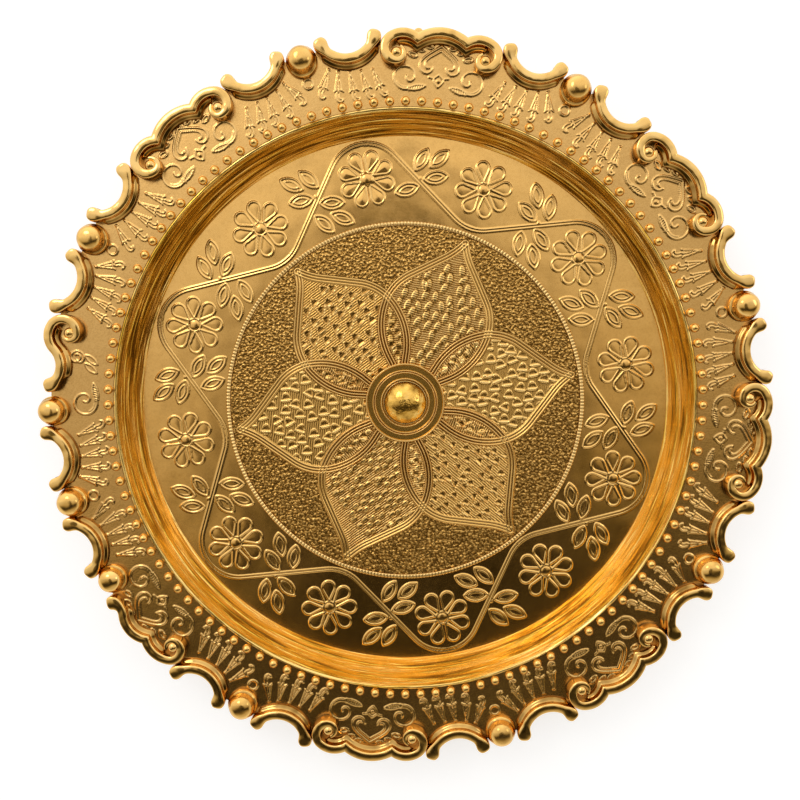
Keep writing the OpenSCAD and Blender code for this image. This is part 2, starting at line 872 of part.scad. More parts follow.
// Lug whose round end looks out behind the valley of the top crest
module rim_lug() {
    neck_l = 2 * band_w;
    lug_place_r = crest_valley.y + band_w;
    color([0.84, 0.64, 0.3])
        at(crest_angle(0))
            translate([-crest_valley.x, lug_place_r, 0]) {
                translate([0, 0, flange_z - border_t])
                    cylinder(h = 2 * border_t, r = lug_r);
                translate([-lug_r / 2, -neck_l, flange_z - border_t])
                    cube([lug_r, neck_l, border_t]);
            }
}

first_scroll = 8;
first_crest = first_scroll + len(slots);
first_ball = first_crest + periods;

base_pan();
floor_plate();
medallion_plate();
milled_ring();
centre_collar();
centre_boss();
border_plate();
rim_beads();
for (i = [0:len(slots) - 1])
    c_scroll(i);
for (k = [0:periods - 1])
    any_crest(k);
for (i = [0:len(ball_places) - 1])
    rim_ball(i);
rim_lug();
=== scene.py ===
"""Round brass thali plate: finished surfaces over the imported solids.

Shapes are worked out in millimetres, in the frame of the solids: +Z up, the
origin under the middle. Angles run clockwise from +Y seen from above.
"""
import math

import bmesh
import bpy
import numpy as np
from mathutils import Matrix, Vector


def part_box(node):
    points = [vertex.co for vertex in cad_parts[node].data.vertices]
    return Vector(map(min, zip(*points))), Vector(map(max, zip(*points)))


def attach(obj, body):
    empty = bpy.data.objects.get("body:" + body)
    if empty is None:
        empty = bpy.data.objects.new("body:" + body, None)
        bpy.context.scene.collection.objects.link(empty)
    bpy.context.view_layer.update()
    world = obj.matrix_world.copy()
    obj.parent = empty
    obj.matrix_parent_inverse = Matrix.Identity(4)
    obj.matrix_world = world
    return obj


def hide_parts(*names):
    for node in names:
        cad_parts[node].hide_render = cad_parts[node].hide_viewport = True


bl_info = {
    "name": "Thali plate",
    "version": (1, 0, 0),
    "blender": (4, 5, 0),
    "location": "View3D > Sidebar > Thali plate",
    "description": "Finished brass surfaces, lights and camera",
    "category": "Object",
}

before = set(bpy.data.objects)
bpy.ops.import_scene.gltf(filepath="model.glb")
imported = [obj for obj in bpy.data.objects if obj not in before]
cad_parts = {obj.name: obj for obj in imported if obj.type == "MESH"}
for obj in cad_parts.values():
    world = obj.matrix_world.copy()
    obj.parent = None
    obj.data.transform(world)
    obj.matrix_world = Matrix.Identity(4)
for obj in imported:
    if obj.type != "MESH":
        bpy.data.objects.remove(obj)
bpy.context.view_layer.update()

MM = 0.001

# Heights and radii of the solids
FLOOR_Z = 1.7
PLATE_Z = 2.5
MEDALLION_Z = 3.3
BOSS_Z = 5.2
FLANGE_Z = 17.9
BORDER_Z = 18.9
LIP_Z = 19.3
SHEET_T = 1.2
RECESS_T = 0.5
SHANK_R = 2.5
SHANK_HOLE_R = 2.6
RIVET_R = 4.2
BOSS_R = 8.9
BOSS_RISE = 4.1
COLLAR_R = 17.3
MEDALLION_R = 76.3
RING_IN_R = 76.4
RING_OUT_R = 78.3
RING_H = 1.7
RING_TEETH = 342
TOOTH_DEPTH = 0.4
# Radius, half width and height of each ridge
COLLAR_RIDGES = ((9.3, 0.35, 0.5), (10.35, 0.45, 0.7), (13.1, 0.38, 0.7),
                 (13.95, 0.38, 0.7), (16.8, 0.55, 0.9))
PLATE_R = 114.8
FOOT_R = 115.1
WALL_TOP_R = 120.5
LIP_R = 121.9
PAN_FLANGE_R = 139.9
BEAD_RING_R = 124.15
BEAD_R = 1.95
BEADS = 120
BALL_RING_R = 145.5
BALL_R = 6.4
BORDER_R = 145.0
KNOB_RING_R = 149.2

# Flowers, vine and star
FLOWER_ANGLE = 20.2
FLOWER_RING_R = 97.75
FLOWER_R = 11.8
FLOWER_EYE_R = 2.7
PETAL_END_R = 2.8
LEAF_L = 10.6
LEAF_W = 5.2
HALF_WAVE = 30.0
VINE_DIP_R = 17.0
VINE_ARCH_R = 16.4
DIP_CENTRE_R = RING_OUT_R + 1 + 1 + VINE_DIP_R
ARCH_CENTRE_R = PLATE_R - 1.1 - 1 - VINE_ARCH_R
STAR_ANGLE = 20.6
STAR_PITCH = 1.24
HATCH_PITCH = 0.95

# Castings
BALL_ANGLES = np.array([-16.8, 28.3, 73.6, 118.5, 163.7, 208.5, 253.8, 298.0])
NEXT_BALL_ANGLES = np.append(BALL_ANGLES[1:], BALL_ANGLES[0] + 360)
CREST_ANGLES = (BALL_ANGLES + NEXT_BALL_ANGLES) / 2
HALF_SPACES = (NEXT_BALL_ANGLES - BALL_ANGLES) / 2
ODD_A, ODD_B = 5, 6
# Middle and radius of the ball beside each odd crest, in the crest's frame
ODD_BALLS = {ODD_A: (20.4, BALL_RING_R - 3.2, 6.1),
             ODD_B: (-17.4, BALL_RING_R, 6.2)}
BAND_HALF_W = 1.85
BAND_H = 4.6
KNOB_R = 2.9
EYE_R = 2.4
CREST_TOP = BALL_RING_R + 5.1
CASTING_GAP = 0.6
SCROLL_OPEN = 4.9
SCROLL_REACH = 0.32


# Places and paths ------------------------------------------------------------

def turned(points, angle):
    """Points turned clockwise: x cos a + y sin a, y cos a - x sin a."""
    a, points = math.radians(angle), np.asarray(points, float)
    x, y = points[..., 0], points[..., 1]
    flat = np.stack([x * math.cos(a) + y * math.sin(a),
                     y * math.cos(a) - x * math.sin(a)], -1)
    return np.concatenate([flat, points[..., 2:]], -1)


def mirrored(points, side):
    """Points with x times side, so side -1 mirrors them."""
    return points * np.array([side, 1.0])


def walk(start, heading, steps, pitch=0.4):
    """Points along a path of bends and straights.

    A step (r, turn) goes round centre c = p + r n, n being the left-hand
    normal, through p(t) = c + r (sin(h + t), -cos(h + t)); a right turn has
    the centre on the other side. A step (0, 0, l) is p + t (cos h, sin h).
    """
    p, h = np.array(start, float), math.radians(heading)
    parts = [p[None]]
    for step in steps:
        if step[0] == 0:
            t = np.linspace(0, step[2], max(2, int(step[2] / pitch)) + 1)[1:]
            part = p + t[:, None] * np.array([math.cos(h), math.sin(h)])
        else:
            r, turn = step[0], math.radians(step[1])
            side = math.copysign(1, turn)
            c = p + side * r * np.array([-math.sin(h), math.cos(h)])
            n = max(3, int(abs(turn) * r / pitch))
            t = h + np.linspace(0, turn, n + 1)[1:]
            part = c + side * r * np.stack([np.sin(t), -np.cos(t)], -1)
            h += turn
        parts.append(part)
        p = part[-1]
    return np.concatenate(parts)


def arc(centre, r, start, end, pitch=0.4):
    """Points centre + r (cos t, sin t), t from start to end in degrees."""
    n = max(6, int(abs(math.radians(end - start)) * r / pitch))
    t = np.radians(np.linspace(start, end, n + 1))
    return np.array(centre) + r * np.stack([np.cos(t), np.sin(t)], -1)


def quarter(x, z, r, count):
    """Points (x + r cos t, z + r sin t), t from 0 to 90 degrees."""
    t = np.radians(np.linspace(0, 90, count))
    return np.stack([x + r * np.cos(t), z + r * np.sin(t)], -1)


def rounded(points, rounds=2):
    """Corner cutting: each round puts points at 1/4 and 3/4 of each side."""
    p = np.array(points, float)
    for _ in range(rounds):
        q = np.stack([0.75 * p[:-1] + 0.25 * p[1:],
                      0.25 * p[:-1] + 0.75 * p[1:]], 1).reshape(-1, 2)
        p = np.concatenate([p[:1], q, p[-1:]])
    return p


def leaf_outline(length, width):
    """Two arcs of radius (l^2 + w^2) / 4w that meet in points on +Y."""
    r = (length ** 2 + width ** 2) / (4 * width)
    half = math.degrees(math.asin(length / 2 / r))
    right = arc((width / 2 - r, length / 2), r, -half, half, 0.5)
    return np.concatenate([right, (right * [-1, 1])[::-1]])


def drop_outline(length, r):
    """Point at the origin, tangents to a round end of radius r on +Y."""
    y = length - r
    touch = 90 - math.degrees(math.acos(r / y))
    end = arc((0, y), r, -touch, 180 + touch, 0.5)
    return np.concatenate([[[0, 0]], end, [[0, 0]]])


# Meshes ----------------------------------------------------------------------

def linked(name, data):
    """A new object in the scene."""
    obj = bpy.data.objects.new(name, data)
    bpy.context.scene.collection.objects.link(obj)
    return obj


class Shell:
    """Grids of points in millimetres, joined into one mesh."""

    def __init__(self):
        self.points, self.faces, self.count = [], [], 0
        self.values = []

    def grid(self, p, close_u=False, close_v=False, value=None):
        """Joins p[i, j] to its neighbours by quads facing u x v."""
        n, m = p.shape[:2]
        i = np.arange(n if close_u else n - 1)[:, None]
        j = np.arange(m if close_v else m - 1)[None]
        after, beside = (i + 1) % n, (j + 1) % m
        quads = np.stack([i * m + j, after * m + j, after * m + beside,
                          i * m + beside], -1).reshape(-1, 4)
        self.faces += (quads + self.count).tolist()
        self.points.append(p.reshape(-1, 3))
        self.values.append(np.zeros((n * m, 4)) if value is None
                           else value.reshape(-1, 4))
        self.count += n * m
        return self

    def caps(self, n, m):
        """Closes both ends of the last grid, whose rings have m points."""
        first = self.count - n * m
        self.faces.append(list(range(first, first + m)))
        self.faces.append(list(range(self.count - 1, self.count - m - 1, -1)))
        return self

    def piece(self, name, node, kind, sharp, weld=True):
        """Makes the object; weld merges seams and turns faces outwards."""
        mesh = bpy.data.meshes.new(name)
        mesh.from_pydata(np.concatenate(self.points) * MM, [], self.faces)
        detail = mesh.attributes.new("detail", "FLOAT_COLOR", "POINT")
        detail.data.foreach_set("color", np.concatenate(self.values).ravel())
        if weld:
            work = bmesh.new()
            work.from_mesh(mesh)
            bmesh.ops.remove_doubles(work, verts=work.verts, dist=2e-6)
            bmesh.ops.recalc_face_normals(work, faces=work.faces)
            work.to_mesh(mesh)
            work.free()
        mesh.shade_smooth()
        mesh.set_sharp_from_angle(angle=math.radians(sharp))
        mesh.materials.append(finish(kind))
        obj = linked(name, mesh)
        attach(obj, "root")
        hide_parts(node)


def toned(tone, grid):
    """Detail values of a grid that has only a tone, from painted shade at -1
    to painted highlights at about 1.
    """
    values = np.zeros((*grid.shape[:2], 4))
    values[..., 3] = tone
    return values


def round_piece(name, node, kind, sharp, grid, tone=0.0, ring=True):
    """Piece of one revolved grid, whose section is a ring or reaches +Z."""
    Shell().grid(grid, True, ring, toned(tone, grid)).piece(
        name, node, kind, sharp)


def revolved(profile, steps, middle=(0.0, 0.0)):
    """Points (cx + r sin a, cy + r cos a, z), a clockwise, of (r, z)."""
    a = np.linspace(0, 2 * math.pi, steps, endpoint=False)[:, None]
    r, z = np.array(profile, float).T
    return np.stack([middle[0] + r * np.sin(a), middle[1] + r * np.cos(a),
                     np.broadcast_to(z, (steps, len(z)))], -1)


def rounded_ring(inner, outer, low, high, soft, crown=0.0):
    """Closed (r, z) section of a ring with rounded upper edges."""
    t = np.radians(np.linspace(180, 90, 5))
    left = np.stack([inner + soft + soft * np.cos(t),
                     high - soft + soft * np.sin(t)], -1)
    right = (left - [inner, 0])[::-1] * [-1, 1] + [outer, 0]
    mid = [[(inner + outer) / 2, high + crown]]
    return np.concatenate([[[inner, low]], left, mid, right, [[outer, low]]])


# Relief ----------------------------------------------------------------------

class Relief:
    """Heights over the points (x, y) of a plate's upper face."""

    def __init__(self, x, y):
        self.x, self.y = x, y
        self.h = np.zeros(x.size)
        # hammering, hatch phase, hatch strength, tone from dark -1 to pale 1:
        # painted shade at -1, painted highlights towards 1
        self.detail = np.zeros((x.size, 4))

    def near(self, path, reach):
        low, high = path.min(0) - reach, path.max(0) + reach
        return np.flatnonzero((self.x > low[0]) & (self.x < high[0])
                              & (self.y > low[1]) & (self.y < high[1]))

    def distance(self, k, path):
        """Least distance from the points k to the pieces of the path."""
        p = np.stack([self.x[k], self.y[k]], -1)[:, None]
        a, d = path[:-1], np.diff(path, axis=0)
        t = ((p - a) * d).sum(-1) / np.maximum((d * d).sum(-1), 1e-9)
        gap = p - a - np.clip(t, 0, 1)[..., None] * d
        return np.sqrt((gap ** 2).sum(-1).min(1))

    def beside(self, path, reach):
        """Points within reach of a path, and their distances to it."""
        d = np.full(self.x.size, np.inf)
        for i in range(0, len(path) - 1, 10):
            part = path[i:i + 11]
            k = self.near(part, reach)
            if k.size:
                d[k] = np.minimum(d[k], self.distance(k, part))
        k = np.flatnonzero(d < reach)
        return k, d[k]

    def stroke(self, path, half_w, height):
        """Rounded ridge: h (1 - (d / w)^2)^(3/4) at distance d < w."""
        k, d = self.beside(path, half_w)
        ridge = (1 - (d / half_w) ** 2) ** 0.75
        self.h[k] = np.maximum(self.h[k], height * ridge)
        # the ridge is painted pale along its crest: a painted highlight
        self.detail[k, 3] = np.maximum(self.detail[k, 3], 0.55 * ridge)

    def triple(self, path, pitch, height):
        """Three ridges: h (1/2 + 1/2 cos(2 pi d / pitch))^0.8 at d."""
        k, d = self.beside(path, 1.5 * pitch)
        ridge = (0.5 + 0.5 * np.cos(2 * math.pi * d / pitch)) ** 0.8
        self.h[k] = np.maximum(self.h[k], height * ridge)
        # pale on the three crests, dark between them: painted highlights and
        # painted shade
        self.detail[k, 3] = np.maximum(self.detail[k, 3], 2.5 * ridge - 1.5)

    def punch(self, spot, turn, size, height, allowed, grain):
        """Half-moon punch mark: a sunk arch over a raised straight edge.

        With u along and v across, both in half lengths and widths, the arch
        is 0 < v < 1 - u^2, its rim is a fine ridge and its foot a strong one.
        A grain is a raised oval with a dark edge on one side instead: a
        painted shadow. The foot and rim are painted pale and the sunk arch
        dark: painted highlights and painted shade.
        """
        length, width = size
        k = self.near(np.array([spot]), length)
        k = k[allowed[k]]
        a = math.radians(turn)
        x, y = self.x[k] - spot[0], self.y[k] - spot[1]
        u = (x * math.cos(a) - y * math.sin(a)) / (length / 2)
        v = (x * math.sin(a) + y * math.cos(a)) / width + 0.4
        arch = 1 - u * u
        sunk = np.clip(np.minimum(v, arch - v) * 4, 0, 1)
        foot = np.exp(-(v / 0.16) ** 2) * np.clip(1.3 - u * u, 0, 1)
        rim = np.exp(-((v - arch) / 0.12) ** 2) * (np.abs(u) < 1.05)
        rise = foot + 0.7 * rim - 0.35 * sunk
        # painted highlights on the foot and rim, painted shade in the sunk
        # arch
        tone = 1.5 * foot + 1.1 * rim - 0.5 * sunk
        if grain:
            v = (v - 0.4) * 2
            oval = np.clip(1.15 - u * u - v * v, 0, 1)
            sunk = np.clip(oval * 4, 0, 1)
            rise = oval ** 0.5
            # painted shadow along one side of the grain, a painted highlight
            # on its oval
            tone = 0.6 * oval - 1.7 * np.exp(
                -((u * u + v * v - 1.3) / 0.45) ** 2) * (v < 0.3)
        near = np.abs(u) < 1.3
        k = k[near]
        self.h[k] += height * rise[near]
        self.detail[k, 2] *= 1 - 0.85 * sunk[near]
        self.detail[k, 3] += tone[near]

    def inside(self, k, path):
        """Even-odd test of the points k against a closed path."""
        x, y = self.x[k][:, None], self.y[k][:, None]
        (ax, ay), (bx, by) = path.T, np.roll(path, -1, 0).T
        crossed = (ay > y) != (by > y)
        reach = (bx - ax) * (y - ay) / np.where(by == ay, 1e-9, by - ay) + ax
        return (crossed & (x < reach)).sum(1) % 2 > 0

    def field(self, path, height, soft):
        """Cushion inside a closed path: h (1 - exp(-d / soft))."""
        k = self.near(path, 0)
        if k.size:
            k = k[self.inside(k, path)]
        if k.size:
            d = self.distance(k, np.concatenate([path, path[:1]]))
            rise = height * (1 - np.exp(-d / soft))
            self.h[k] = np.maximum(self.h[k], rise)

    def bump(self, middle, r, height):
        """Round bead: h sqrt(1 - (d / r)^2)."""
        k = self.near(np.array([middle]), r)
        d = np.hypot(self.x[k] - middle[0], self.y[k] - middle[1]) / r
        rise = height * np.sqrt(np.clip(1 - d * d, 0, 1))
        self.h[k] = np.maximum(self.h[k], rise)


def plate(node, kind, relief_of, radii, limits, count, levels, edge_of=None):
    """Embossed plate in sectors, closed underneath and at their ends.

    The upper face is (r sin a, r cos a, top + height(x, y)). With edge_of,
    which gives the edge at some angles, r is stretched to meet the edge.
    """
    for n, (start, end) in enumerate(zip(limits, limits[1:])):
        angles = np.linspace(start, end, count)
        a = np.radians(angles)[:, None]
        r = radii
        if edge_of:
            share = (radii - radii[0]) / (radii[-1] - radii[0])
            r = radii[0] + (edge_of(angles)[:, None] - radii[0]) * share
        x, y = r * np.sin(a), r * np.cos(a)
        relief = Relief(x.ravel(), y.ravel())
        relief_of(relief)
        top = np.stack([x, y, levels[0] + relief.h.reshape(x.shape)], -1)
        low = top[:, [-1, 0]] * [1, 1, 0] + [0, 0, levels[1]]
        rings = np.concatenate([top, low], 1)
        detail = np.zeros((*rings.shape[:2], 4))
        detail[:, :-2] = relief.detail.reshape(*x.shape, 4)
        Shell().grid(rings, close_v=True, value=detail).caps(
            *rings.shape[:2]).piece(f"{node}_{n + 1}", node, kind, 80, False)


# Floor plate -----------------------------------------------------------------

def vine_half():
    """Middle line of half a vine wave, from a dip's foot to an arch's top.

    The straight is the common tangent of the dip and arch circles.
    """
    dip = np.array([0.0, DIP_CENTRE_R])
    top = turned([0.0, ARCH_CENTRE_R], HALF_WAVE)
    d = top - dip
    lean = (math.degrees(math.atan2(d[1], d[0]))
            + math.degrees(math.asin((VINE_DIP_R + VINE_ARCH_R)
                                     / math.hypot(*d))))
    straight = math.sqrt(d @ d - (VINE_DIP_R + VINE_ARCH_R) ** 2)
    return walk(dip - [0, VINE_DIP_R], 0,
                [(VINE_DIP_R, lean), (0, 0, straight),
                 (VINE_ARCH_R, -(lean + HALF_WAVE))], 0.8)


def shifted(path, offset):
    """A path moved sideways by offset along its left-hand normal."""
    t = np.gradient(path, axis=0)
    t /= np.linalg.norm(t, axis=1)[:, None]
    return path + offset * np.stack([-t[:, 1], t[:, 0]], -1)


# Foot of each leaf of a sprig, in leaf lengths, and the leaf's tilt
LEAF_PLACES = [(0.27, 0.39, -42), (0.85, 0.18, -24), (0.46, -0.13, -75),
               (0.61, -0.43, 114), (0.19, -0.79, 156), (0.82, -1.01, 137)]
SPRIG_ANGLE = 12.6


def floor_relief(relief):
    """Vine with its double line, twelve flowers and the leafy sprigs."""
    half = vine_half()
    height = bpy.context.scene.thali_relief.floor_line / MM
    leaf = leaf_outline(LEAF_L, LEAF_W)
    vein = leaf_outline(LEAF_L * 0.62, LEAF_W * 0.5) + [0, LEAF_L * 0.19]
    petal = drop_outline(FLOWER_R - FLOWER_EYE_R, PETAL_END_R)
    for k in range(6):
        wave = FLOWER_ANGLE + 60 * k
        for side in (-1, 1):
            for offset in (-0.58, 0.58):
                line = turned(mirrored(shifted(half, offset), side), wave)
                relief.stroke(line, 0.4, height * 0.65)
            for n, (u, v, tilt) in enumerate(LEAF_PLACES):
                if k == 0 and side < 0 and n > 3:
                    continue
                spot = (u * LEAF_L, v * LEAF_L)
                for outline, w, h in ((leaf, 0.41, 1.0), (vein, 0.36, 0.7)):
                    path = turned(outline, tilt) + spot
                    path = turned(path + [0, FLOWER_RING_R], SPRIG_ANGLE)
                    path = turned(mirrored(path, side), wave)
                    relief.stroke(path, w, height * h)
                    if outline is leaf:
                        relief.field(path, height * 0.25, 0.8)
            bud = turned([6.4, FLOWER_RING_R - 1.2], SPRIG_ANGLE)
            relief.bump(turned(bud * [side, 1], wave), 0.8, height * 0.8)
        for half_turn in (0, 1):
            turn = wave + HALF_WAVE * half_turn
            domed = k == 5 and half_turn == 1
            middle = turned([0.0, FLOWER_RING_R], turn)
            for p in range(8):
                path = turned(petal + [0, FLOWER_EYE_R + 0.2], 45 * (p + 0.5))
                path = turned(path + [0, FLOWER_RING_R], turn)
                relief.stroke(path, 0.44, height * 0.95)
                relief.field(path, height * (1.3 if domed else 0.35), 1.4)
            ring = arc(middle, FLOWER_EYE_R, 0, 360)
            relief.stroke(ring, 0.38, height * 0.9)
            relief.bump(middle, FLOWER_EYE_R * (1.0 if domed else 0.82),
                        height * (2.6 if domed else 1.5))


# Medallion -------------------------------------------------------------------

def star_side():
    """Middle line of a star petal's right side, from its tip inwards."""
    r = MEDALLION_R
    steps = [(0.417 * r, 19), (0, 0, 0.218 * r), (0.278 * r, -44),
             (0.389 * r, -48), (0, 0, 0.11 * r)]
    return walk((0, 0.962 * r), -65, steps, 0.8)


# Per petal: pitch along a row and between rows, lean of the rows, lean,
# length and width of a mark, lean and strength of the hatching, tone, which is
# painted light and shade over the whole petal
MARKS = [(5.0, 4.3, 8, -72, 5.0, 2.6, 12, 1.0, 0.2),
         (5.1, 4.9, -84, 0, 4.2, 3.1, 90, 0.2, 0.15),
         (5.0, 4.6, -40, 30, 4.0, 2.9, 40, 0.6, -0.1),
         (3.9, 3.5, 52, -38, 3.4, 2.3, 145, 1.0, 0.1),
         (5.6, 5.2, 80, 0, 4.2, 3.2, 95, 0.2, 0.0),
         (4.7, 5.2, 53, -55, 4.4, 3.3, -37, 0.5, -0.4)]
GRAIN_PETALS = (0, 3)


def across(x, y, lean):
    """Distance x cos a - y sin a over lines that lean by a from +X to -Y."""
    a = math.radians(lean)
    return x * math.cos(a) - y * math.sin(a)


def mark_places(k):
    """Middles and leans of a petal's marks: staggered rows with a wobble."""
    row, between, lean, turn = MARKS[k][:4]
    rng = np.random.default_rng(k + 3)
    u, v = np.meshgrid(np.arange(-13, 14) * row, np.arange(-14, 15) * between)
    u = u + (np.arange(29)[:, None] % 2) * row / 2
    u, v = u + rng.normal(0, 0.7, u.shape), v + rng.normal(0, 0.5, v.shape)
    spots = turned(np.stack([u, v], -1), lean).reshape(-1, 2)
    return spots, turn + rng.normal(0, 14, len(spots))


def medallion_relief(relief):
    """Star of six looped petals with punch marks, on a hammered ground.

    Hatching runs across each petal by its own lean, and where two petals
    overlap it runs across the overlap.
    """
    sizes = bpy.context.scene.thali_relief
    side = star_side()
    outline = np.concatenate([side, (side * [-1, 1])[::-1]])
    x, y, detail = relief.x, relief.y, relief.detail
    detail[:, 0] = 1
    held = np.zeros(x.size, int)
    petals, lines = [], []
    for k in range(6):
        angle = STAR_ANGLE + 60 * k
        near = relief.near(turned(outline, angle), 0)
        within = near[relief.inside(near, turned(outline, angle))]
        held[within] += 1
        petals.append(within)
        lines += [turned(mirrored(side, m), angle) for m in (-1, 1)]
    for within, (*_, lean, strength, tone) in zip(petals, MARKS):
        phase = across(x[within], y[within], lean - 90) / HATCH_PITCH
        detail[within, 0], detail[within, 1] = 0, phase
        # the petal's tone lightens or darkens it as a whole: painted light and
        # shade
        detail[within, 2], detail[within, 3] = strength, tone
    for k, within in enumerate(petals):
        both = within[held[within] > 1]
        lens = STAR_ANGLE + 60 * k + 30
        here = both[np.abs((np.degrees(np.arctan2(x[both], y[both])) - lens
                            + 180) % 360 - 180) < 30]
        detail[here, 1] = across(x[here], y[here], lens + 90) / HATCH_PITCH
        detail[here, 2] = 0.9
    on_line = np.zeros(x.size, bool)
    for line in lines:
        on_line[relief.beside(line, 2.2)[0]] = True
    for k, within in enumerate(petals):
        if not within.size:
            continue
        allowed = np.zeros(x.size, bool)
        allowed[within] = True
        allowed &= ~on_line
        held_xy = np.stack([x[within], y[within]], -1)
        low, high = held_xy.min(0) - 3, held_xy.max(0) + 3
        for spot, turn in zip(*mark_places(k)):
            if ((spot > low) & (spot < high)).all():
                relief.punch(spot, turn, MARKS[k][4:6],
                             sizes.chisel_mark / MM, allowed,
                             k in GRAIN_PETALS)
    for line in lines:
        near = relief.beside(line, 1.8)[0]
        relief.h[near] = detail[near, 0] = detail[near, 2] = 0
        # painted shade in the grooves beside and between the star's ridges
        detail[near, 3] = -1
    for line in lines:
        relief.triple(line, STAR_PITCH, sizes.star_line / MM)


# Border ----------------------------------------------------------------------

# Measured outlines in a crest's own frame: x along the rim, y from the middle
BORDER_SCALE = 1.015
HEART_OUTER = [(0, 144.2), (-2.2, 142.7), (-4.7, 140.9), (-6.8, 139.1),
               (-8.1, 137.1), (-8.0, 135.0), (-6.6, 133.5), (-4.6, 133.2),
               (-3.1, 134.2), (-2.6, 135.9)]
HEART_INNER = [(0, 142.4), (-2.2, 140.9), (-4.4, 139.4), (-5.8, 137.9),
               (-6.0, 136.2), (-5.0, 135.2), (-3.9, 135.5)]
FINIAL = [(-0.1, 128.2), (-1.5, 129.6), (-2.2, 131.2), (-1.2, 132.0),
          (0, 133.0)]
SEPALS = [(-2.9, 143.6, -78), (-6.4, 141.9, -72), (-9.2, 139.6, -80)]
# Share of the way from crest to ball, share of the border's width and tilt
FLUTES = [(0.106, 0.55, 30), (0.215, 0.33, 10), (0.334, 0.25, -4),
          (0.441, 0.25, -13), (0.544, 0.29, -20)]


def strokes(relief, set_path, h, *lines):
    """Ridges on paths, each with its half width and its share of height h."""
    for path, half_w, share in lines:
        relief.stroke(set_path(np.array(path)), half_w, h * share)


def bumps(relief, set_path, h, *beads):
    """Beads at (x, y), each with its radius and its share of height h."""
    for x, y, r, share in beads:
        relief.bump(set_path(np.array([[x, y]]))[0], r, h * share)


def spiral(middle, inner, outer, start, sweep, shift=(0.0, 0.0)):
    """Points c + r (cos t, sin t): r grows and c moves from its shift."""
    u = np.linspace(0, 1, 48)[:, None]
    t = np.radians(start + sweep * u)
    grown = np.clip(u * 1.5, 0, 1) ** 0.8
    r = inner + (outer - inner) * grown
    middle = np.array(middle) + np.array(shift) * (1 - grown)
    return middle + r * np.concatenate([np.cos(t), np.sin(t)], 1)


def curl_relief(relief, set_path, middle, h):
    """Spiral line that runs inwards round its eye to a long hatched leaf."""
    tip, foot = np.array(middle) + [[8.4, -2.6], [0.9, -4.6]]
    tail = leaf_outline(float(np.hypot(*(tip - foot))), 1.9)
    tail = turned(tail, math.degrees(math.atan2(*(tip - foot)))) + foot
    roots = [foot + (tip - foot) * n / 8 + [0, -0.7] for n in range(1, 7)]
    strokes(relief, set_path, h,
            (spiral(middle, 0.8, 4.7, -150, 430, (1.3, 1.1)), 0.4, 1.0),
            (arc(middle, 3.8, -150, -60), 0.3, 0.7), (tail, 0.34, 1.0),
            *[([root, root + [0.45, 1.3]], 0.26, 0.9) for root in roots])


def flute_relief(relief, set_path, h):
    """Three lines that meet in a bead, a crown bar and a crook behind it."""
    strokes(relief, set_path, h,
            ([(-1.35, 0.3), (-0.675, 3.8), (0, 7)], 0.31, 1.0),
            ([(0, 0.3), (0, 3.8)], 0.31, 1.0),
            ([(1.35, 0.3), (0.675, 3.8), (0, 7)], 0.31, 1.0),
            (rounded([(-1.8, -0.4), (-0.9, 0.3), (0, -0.1), (0.9, 0.3),
                      (1.8, -0.4)]), 0.34, 1.1),
            (rounded([(-0.8, -0.7), (-1.2, -2.9), (-0.3, -4.6), (1.2, -4.5),
                      (1.8, -3.4)]), 0.33, 1.1),
            (rounded([(0.4, -0.8), (0.1, -2.3), (0.5, -3.5), (1.8, -3.4)]),
             0.3, 0.9))
    bumps(relief, set_path, h, (0, 7.3, 0.55, 1.3), (0, -0.5, 0.45, 1.0))


def heart_relief(relief, set_path, h):
    """One half of the open double-lined heart, its loops and its finial."""
    strokes(relief, set_path, h, (rounded(HEART_OUTER), 0.4, 1.0),
            (rounded(HEART_INNER), 0.36, 1.0), (rounded(FINIAL), 0.36, 1.0),
            ([(-4.0, 131.9), (-2.4, 131.6)], 0.32, 1.0),
            *[(turned(leaf_outline(4.0, 1.9), tilt) + [x, y], 0.34, 1.0)
              for x, y, tilt in SEPALS])
    bumps(relief, set_path, h, (-0.2, 130.6, 0.7, 1.0))


def border_relief(relief):
    """Hearts and spirals behind the crests, flutes under the scrolls."""
    h = bpy.context.scene.thali_relief.border_line / MM
    low = BEAD_RING_R + BEAD_R + 0.9
    wide = BALL_RING_R - BALL_R - low
    for ball in BALL_ANGLES:
        middle = turned([0, BALL_RING_R - BALL_R - 2.5], ball)
        relief.stroke(arc(middle, 2.0, 0, 360), 0.42, h)
    for k, crest in enumerate(CREST_ANGLES):
        for side in (-1, 1):
            def set_path(path):
                return turned(mirrored(path * BORDER_SCALE, -side), crest)

            for share, rise, tilt in FLUTES:
                def set_flute(path):
                    path = turned(path, tilt) + [0, low + rise * wide]
                    turn = crest + side * HALF_SPACES[k] * (1 - share)
                    return turned(mirrored(path, -side), turn)

                flute_relief(relief, set_flute, h)
            if k != ODD_B:
                heart_relief(relief, set_path, h)
                curl_relief(relief, set_path, (-13.2, 131.0), h)
            elif side > 0:
                strokes(relief, set_path, h, (
                    spiral((-5.2, 135.4), 0.8, 3.2, 30, -330), 0.38, 1.0))
            else:
                leaf = turned(leaf_outline(6, 2.2), 35)
                curl_relief(relief, set_path, (-12.6, 131.0), h)
                strokes(relief, set_path, h, (
                    spiral((6.0, 136.2), 0.7, 2.2, 30, -330), 0.38, 1.0),
                    *[(leaf + [x, 127.5], 0.36, 1.0) for x in (0, 3.5)])


# Castings --------------------------------------------------------------------

# Radius and turn of a volute's last bends
CURL = [(3, -90), (2.7, -70)]


